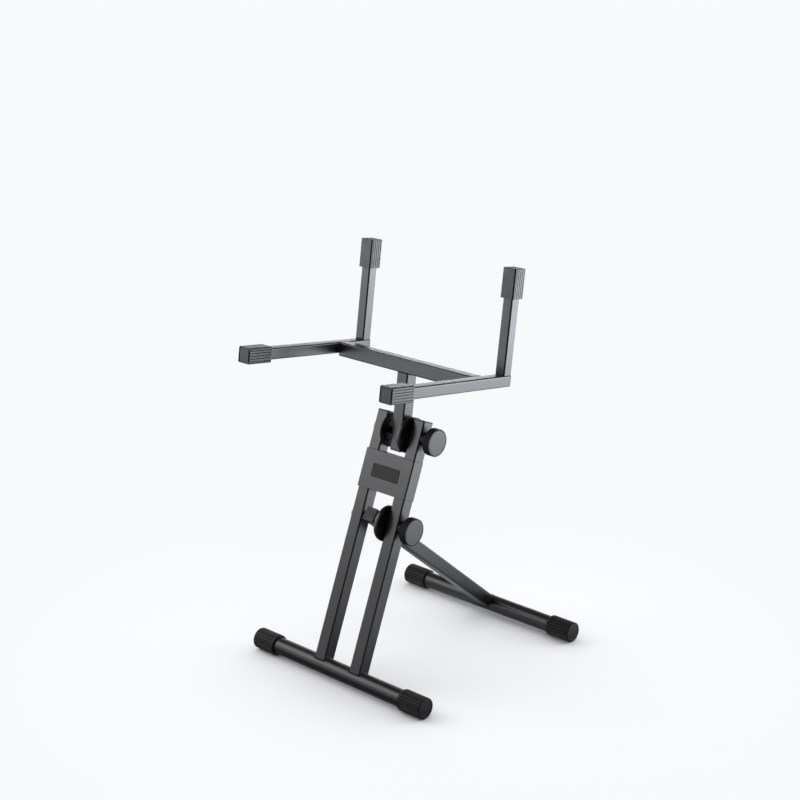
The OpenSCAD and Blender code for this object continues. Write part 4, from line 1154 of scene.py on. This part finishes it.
def lay_floor(material):
    """The floor: one large square."""
    half = bpy.context.scene.stand_stage.floor_size / 2
    mesh = bpy.data.meshes.new("floor")
    mesh.from_pydata([(-half, -half, 0), (half, -half, 0), (half, half, 0), (-half, half, 0)], [],
                     [(0, 1, 2, 3)])
    mesh.materials.append(material)
    new_object("floor", mesh)


def aimed(place, back):
    """Matrix of a camera or lamp at a place, upright, with its back towards a direction."""
    return Place(place, back, np.cross([0, 0, 1], back)).matrix()


def soft_lamp(name, power, colour, wide, high, place, target, opening):
    """A rectangular area lamp at a place, aimed at a target, whose light stays within an angle."""
    data = bpy.data.lights.new(name, "AREA")
    data.energy, data.color, data.spread = power, colour, opening
    data.shape, data.size, data.size_y = "RECTANGLE", wide, high
    lamp = new_object(name, data)
    lamp.visible_camera = False
    lamp.matrix_world = aimed(place, np.subtract(place, target))


def projected(tree, place, towards):
    """How far a place lies along a direction, as place . unit(towards)."""
    inputs = {0: place, 1: unit(np.array(towards))}
    return add(tree, "ShaderNodeVectorMath", inputs, operation="DOT_PRODUCT").outputs["Value"]


def ramped(tree, place, ramp, to_low, to_high):
    """A level that goes from to_low to to_high while a place goes along a ramp."""
    towards, low, high = ramp
    return spread(tree, projected(tree, place, towards), low, high, to_low, to_high)


def product(tree, *levels):
    """The product of levels."""
    total = levels[0]
    for level in levels[1:]:
        total = combine(tree, "MULTIPLY", total, level)
    return total


def ray_kinds(tree):
    """Whether a ray is glossy, and whether it comes from the camera, straight or through glass."""
    path = add(tree, "ShaderNodeLightPath").outputs
    return path["Is Glossy Ray"], combine(tree, "MAXIMUM", path["Is Camera Ray"], path["Is Transmission Ray"])


def for_glossy(tree, glossy, level):
    """A level for glossy rays, and 1 for all others."""
    return add(tree, "ShaderNodeMix", {0: glossy, 2: 1.0, 3: level}, data_type="FLOAT").outputs[0]


def floor_glow(tree, place, away):
    """Level that reflections show of the floor, at a place that lies away from the stand's middle.

    It is the higher of a ramp outwards and one to the right rear. That is shaded along both feet, less
    bright right of the leg and brighter left of it, and dark on the camera's side.
    """
    stage = bpy.context.scene.stand_stage
    outwards = spread(tree, away, *GLOW_GROWS, stage.floor_near, stage.floor_far)
    right_rear = ramped(tree, place, RIGHT_REAR, stage.floor_near, stage.floor_right)
    glow = combine(tree, "MAXIMUM", right_rear, outwards)

    y = combine(tree, "ABSOLUTE", add(tree, "ShaderNodeSeparateXYZ", {"Vector": place}).outputs["Y"])
    from_foot = combine(tree, "ABSOLUTE", combine(tree, "SUBTRACT", y, abs(REAR_AXIS[1])))
    darkest = ramped(tree, place, FRONT_TO_REAR, stage.feet_shade, stage.rear_shade)
    feet = spread(tree, from_foot, 0.0, FOOT_SHADE_REACH, darkest, 1.0)

    right = combine(tree, "MAXIMUM", ramped(tree, place, LEFT_REAR, 1.0, stage.leg_right),
                    ramped(tree, place, RIGHT_HALF, 1.0, stage.leg_right))
    left = combine(tree, "MINIMUM", ramped(tree, place, LEFT_HALF, 1.0, stage.leg_left),
                   ramped(tree, place, REAR_HALF, 1.0, stage.leg_left))

    nearer = projected(tree, place, (*stage.camera_back[:2], 0))
    nearer = combine(tree, "SUBTRACT", nearer, combine(tree, "MULTIPLY", away, CAMERA_SHARE))
    camera_side = spread(tree, nearer, *CAMERA_SIDE, 1.0, stage.camera_side)
    return product(tree, glow, feet, right, left, camera_side)


def floor_material(colour, backdrop):
    """Pale matt floor that keeps shadows, and clears to the backdrop's colour away from the stand.

    It clears for the camera and through glass. Its colour is painted a little darker at the left, as shade
    against the fill lamp's pool of light. Glossy rays see only its glow.
    """
    material, tree, shader = new_material("pale_floor")
    stage = bpy.context.scene.stand_stage
    shader.inputs["Roughness"].default_value = 0.85
    shader.inputs["Specular IOR Level"].default_value = 0.1
    place = add(tree, "ShaderNodeTexCoord").outputs["Object"]
    away = add(tree, "ShaderNodeVectorMath", {0: place}, operation="LENGTH").outputs["Value"]
    # Painted shade on the floor: darker at the left, against the fill lamp's pool of light.
    pool = ramped(tree, place, LEFT_POOL, 1.0, stage.floor_left)
    base = add(tree, "ShaderNodeVectorMath", {0: colour, 3: pool}, operation="SCALE")
    tree.links.new(base.outputs["Vector"], shader.inputs["Base Color"])

    glossy, seen = ray_kinds(tree)
    level = for_glossy(tree, glossy, floor_glow(tree, place, away))
    tint = mixed(tree, glossy, (*backdrop, 1), (*GLOW_TINT, 1))
    glow = add(tree, "ShaderNodeEmission", {"Color": tint, "Strength": level})
    clear = product(tree, seen, spread(tree, away, *FLOOR_CLEARS, stage.floor_clear, 1.0))
    share = combine(tree, "MAXIMUM", clear, glossy)
    both = add(tree, "ShaderNodeMixShader", {0: share, 1: shader.outputs[0], 2: glow.outputs[0]})
    tree.links.new(both.outputs[0], tree.nodes["Material Output"].inputs["Surface"])
    return material


def backdrop_world(colour, strength, camera_back):
    """World that lights most from the rear and above, and that the camera sees in the backdrop's colour.

    Glossy rays and rays through glass see that colour too. To glossy rays it is pale near the horizon and
    dimmer above, and dark on the camera's side.
    """
    stage = bpy.context.scene.stand_stage
    world = bpy.data.worlds.new("pale_world")
    world.use_nodes = True
    tree = world.node_tree
    way = add(tree, "ShaderNodeTexCoord").outputs["Generated"]
    light = tree.nodes["Background"]
    light.inputs["Color"].default_value = (1, 1, 1, 1)
    rear_light = (-camera_back[0], -camera_back[1], 0.8), -0.3, 1.0
    tree.links.new(ramped(tree, way, rear_light, 0.3 * strength, 1.6 * strength), light.inputs["Strength"])

    glossy, seen = ray_kinds(tree)
    level = product(tree, ramped(tree, way, UPWARDS, 1.0, stage.world_high),
                    ramped(tree, way, (camera_back, 0.3, 0.8), 1.0, stage.camera_side))
    plain = add(tree, "ShaderNodeBackground",
                {"Color": (*colour, 1), "Strength": for_glossy(tree, glossy, level)})
    share = combine(tree, "MAXIMUM", seen, glossy)
    both = add(tree, "ShaderNodeMixShader", {0: share, 1: light.outputs[0], 2: plain.outputs[0]})
    tree.links.new(both.outputs[0], tree.nodes["World Output"].inputs["Surface"])
    bpy.context.scene.world = world


def set_camera():
    """Camera at the photographed angle."""
    scene = bpy.context.scene
    stage = scene.stand_stage
    camera = new_object("camera", bpy.data.cameras.new("camera"))
    camera.data.lens, camera.data.sensor_width = stage.lens, 36.0
    camera.matrix_world = aimed(stage.camera_place, np.array(stage.camera_back))
    scene.camera = camera


def set_stage():
    """Camera, floor, world and two soft lamps."""
    scene = bpy.context.scene
    stage, colours = scene.stand_stage, scene.stand_colours
    set_camera()
    lay_floor(floor_material(colours.floor, colours.backdrop))
    backdrop_world(colours.backdrop, stage.world_light, stage.camera_back)
    soft_lamp("key", stage.key_light, (0.9, 0.93, 1.0), wide=1.2, high=0.8, place=(1.25, 1.4, 0.5),
              target=(0, 0, 0.45), opening=1.4)
    soft_lamp("fill", stage.fill_light, (0.98, 0.99, 1.0), wide=1.25, high=1.05,
              place=(-1.13, -0.92, 1.1), target=(0, -0.1, 0.2), opening=2.4)
    scene.view_settings.view_transform = "Standard"


# ------------------------------------------------------------------ operators

class BuildRoundTubes(bpy.types.Operator):
    """Round tubes of the front and rear foot"""

    bl_idname = "amp_stand.round_tubes"
    bl_label = "Round tubes"

    def execute(self, context):
        round_tube("front_foot_tube", FRONT_FOOT)
        round_tube("rear_foot_tube", REAR_FOOT)
        return {"FINISHED"}


class BuildSquareTubes(bpy.types.Operator):
    """Uprights, leg, neck, crossbar, arms and posts"""

    bl_idname = "amp_stand.square_tubes"
    bl_label = "Square tubes"

    def execute(self, context):
        square_tube("left_upright", UPRIGHTS, 0.0)
        square_tube("right_upright", UPRIGHTS, 0.0)
        square_tube("leg_tube", LEG, LEG_FOOT_Z)
        square_tube("neck_tube", HEAD)
        square_tube("crossbar", CROSSWISE)
        for side in ("left", "right"):
            square_tube(f"{side}_arm", ARMS)
            square_tube(f"{side}_post", HEAD)
        return {"FINISHED"}


class BuildTubePlugs(bpy.types.Operator):
    """Plugs in the open ends of the square tubes"""

    bl_idname = "amp_stand.tube_plugs"
    bl_label = "Tube plugs"

    def execute(self, context):
        for side in ("left", "right"):
            tube_plug(f"{side}_upright_plug", UPRIGHTS)
            tube_plug(f"{side}_arm_plug", ARMS)
        tube_plug("leg_plug", LEG)
        tube_plug("neck_plug", HEAD, head_low=True)
        return {"FINISHED"}


class BuildFootCaps(bpy.types.Operator):
    """Ribbed round rubber caps on both feet"""

    bl_idname = "amp_stand.foot_caps"
    bl_label = "Foot caps"

    def execute(self, context):
        for end, place in (("front", FRONT_FOOT), ("rear", REAR_FOOT)):
            foot_cap(f"{end}_left_cap", place, -1)
            foot_cap(f"{end}_right_cap", place, 1)
        return {"FINISHED"}


class BuildRestCaps(bpy.types.Operator):
    """Square rubber caps on the arms and the posts"""

    bl_idname = "amp_stand.rest_caps"
    bl_label = "Rest caps"

    def execute(self, context):
        for side in ("left", "right"):
            rest_cap(f"{side}_arm_cap", ARMS)
            rest_cap(f"{side}_post_cap", HEAD, end_low=False)
        return {"FINISHED"}


class BuildBracket(bpy.types.Operator):
    """Sheet steel channel round the uprights, and the bare plate on it"""

    bl_idname = "amp_stand.bracket"
    bl_label = "Bracket and plate"

    def execute(self, context):
        bracket()
        blank_plate()
        return {"FINISHED"}


class BuildClutches(bpy.types.Operator):
    """Toothed clutch discs at both pivots"""

    bl_idname = "amp_stand.clutches"
    bl_label = "Clutch discs"

    def execute(self, context):
        moving_clutch("lower_moving_clutch", LEG_TURN)
        moving_clutch("upper_moving_clutch", HEAD_TURN)
        fixed_clutch("lower_fixed_clutch", LOWER_TURN)
        fixed_clutch("upper_fixed_clutch", UPPER_TURN)
        return {"FINISHED"}


class BuildSpacers(bpy.types.Operator):
    """Bush left of the leg, and dished disc and sleeve left of the neck"""

    bl_idname = "amp_stand.spacers"
    bl_label = "Bush, sleeve and side disc"

    def execute(self, context):
        spacer("lower_bush", LOWER_TURN)
        spacer("upper_sleeve", UPPER_TURN)
        side_disc("upper_side_disc", UPPER_TURN)
        return {"FINISHED"}


class BuildBolts(bpy.types.Operator):
    """Pivot bolts and their washers"""

    bl_idname = "amp_stand.bolts"
    bl_label = "Bolts and washers"

    def execute(self, context):
        washers("head_washers")
        washers("knob_washers")
        seat = LOWER_TURN.box("head_washers")[0][2]
        bolt("lower_bolt", LOWER_TURN, seat)
        bolt("upper_bolt", UPPER_TURN, seat)
        return {"FINISHED"}


class BuildKnobs(bpy.types.Operator):
    """Fluted clamping knobs with bare grey face discs"""

    bl_idname = "amp_stand.knobs"
    bl_label = "Knobs"

    def execute(self, context):
        for level, place in (("lower", LOWER_TURN), ("upper", UPPER_TURN)):
            knob(f"{level}_knob", place)
            knob_face(f"{level}_knob_face", place)
        return {"FINISHED"}


class BuildWelds(bpy.types.Operator):
    """Weld beads on the uprights, the leg and the head"""

    bl_idname = "amp_stand.welds"
    bl_label = "Weld beads"

    def execute(self, context):
        foot_welds("foot_welds", UPRIGHTS, ("left_upright", "right_upright"), 0.0)
        foot_welds("leg_welds", LEG, ("leg_tube",), LEG_FOOT_Z)
        head_welds()
        return {"FINISHED"}


class FinishHardware(bpy.types.Operator):
    """Finish on the springs, screws and inserts inside the pivots, whose solids stay as they are"""

    bl_idname = "amp_stand.hardware"
    bl_label = "Inner hardware"

    def execute(self, context):
        for node in ("lower_clutch_spring", "upper_clutch_spring", "lower_clutch_screws",
                     "upper_clutch_screws", "lower_knob_insert", "upper_knob_insert"):
            frame["nodes"][node].material_slots[0].material = finish(SLOT_OF[node])
        return {"FINISHED"}


class BuildStage(bpy.types.Operator):
    """Camera, lamps, world and floor"""

    bl_idname = "amp_stand.stage"
    bl_label = "Stage"

    def execute(self, context):
        set_stage()
        return {"FINISHED"}


PIECES = (BuildRoundTubes, BuildSquareTubes, BuildTubePlugs, BuildFootCaps, BuildRestCaps, BuildBracket,
          BuildClutches, BuildSpacers, BuildBolts, BuildKnobs, BuildWelds, FinishHardware, BuildStage)


class StandPanel(bpy.types.Panel):
    """Lists the pieces, their sizes and colours"""

    bl_idname = "VIEW3D_PT_amp_stand"
    bl_label = "Folding amp stand"
    bl_space_type = "VIEW_3D"
    bl_region_type = "UI"
    bl_category = "Amp stand"

    def draw(self, context):
        layout = self.layout
        for piece in PIECES:
            layout.operator(piece.bl_idname)
        for name in SETTINGS:
            settings = getattr(context.scene, name)
            box = layout.box()
            for key in settings.__annotations__:
                box.prop(settings, key)


SETTINGS = {"stand_sizes": StandSizes, "stand_colours": StandColours, "stand_stage": StandStage}


def register():
    """Registers the settings, the operators and the panel."""
    for name, settings in SETTINGS.items():
        bpy.utils.register_class(settings)
        setattr(bpy.types.Scene, name, PointerProperty(type=settings))
    for piece in (*PIECES, StandPanel):
        bpy.utils.register_class(piece)


def unregister():
    """Takes all of it out again."""
    for piece in (StandPanel, *PIECES):
        bpy.utils.unregister_class(piece)
    for name, settings in SETTINGS.items():
        delattr(bpy.types.Scene, name)
        bpy.utils.unregister_class(settings)


def main():
    """Registers the settings, then builds every piece in order."""
    register()
    for piece in PIECES:
        group, name = piece.bl_idname.split(".")
        getattr(getattr(bpy.ops, group), name)()


if __name__ == "__main__":
    main()
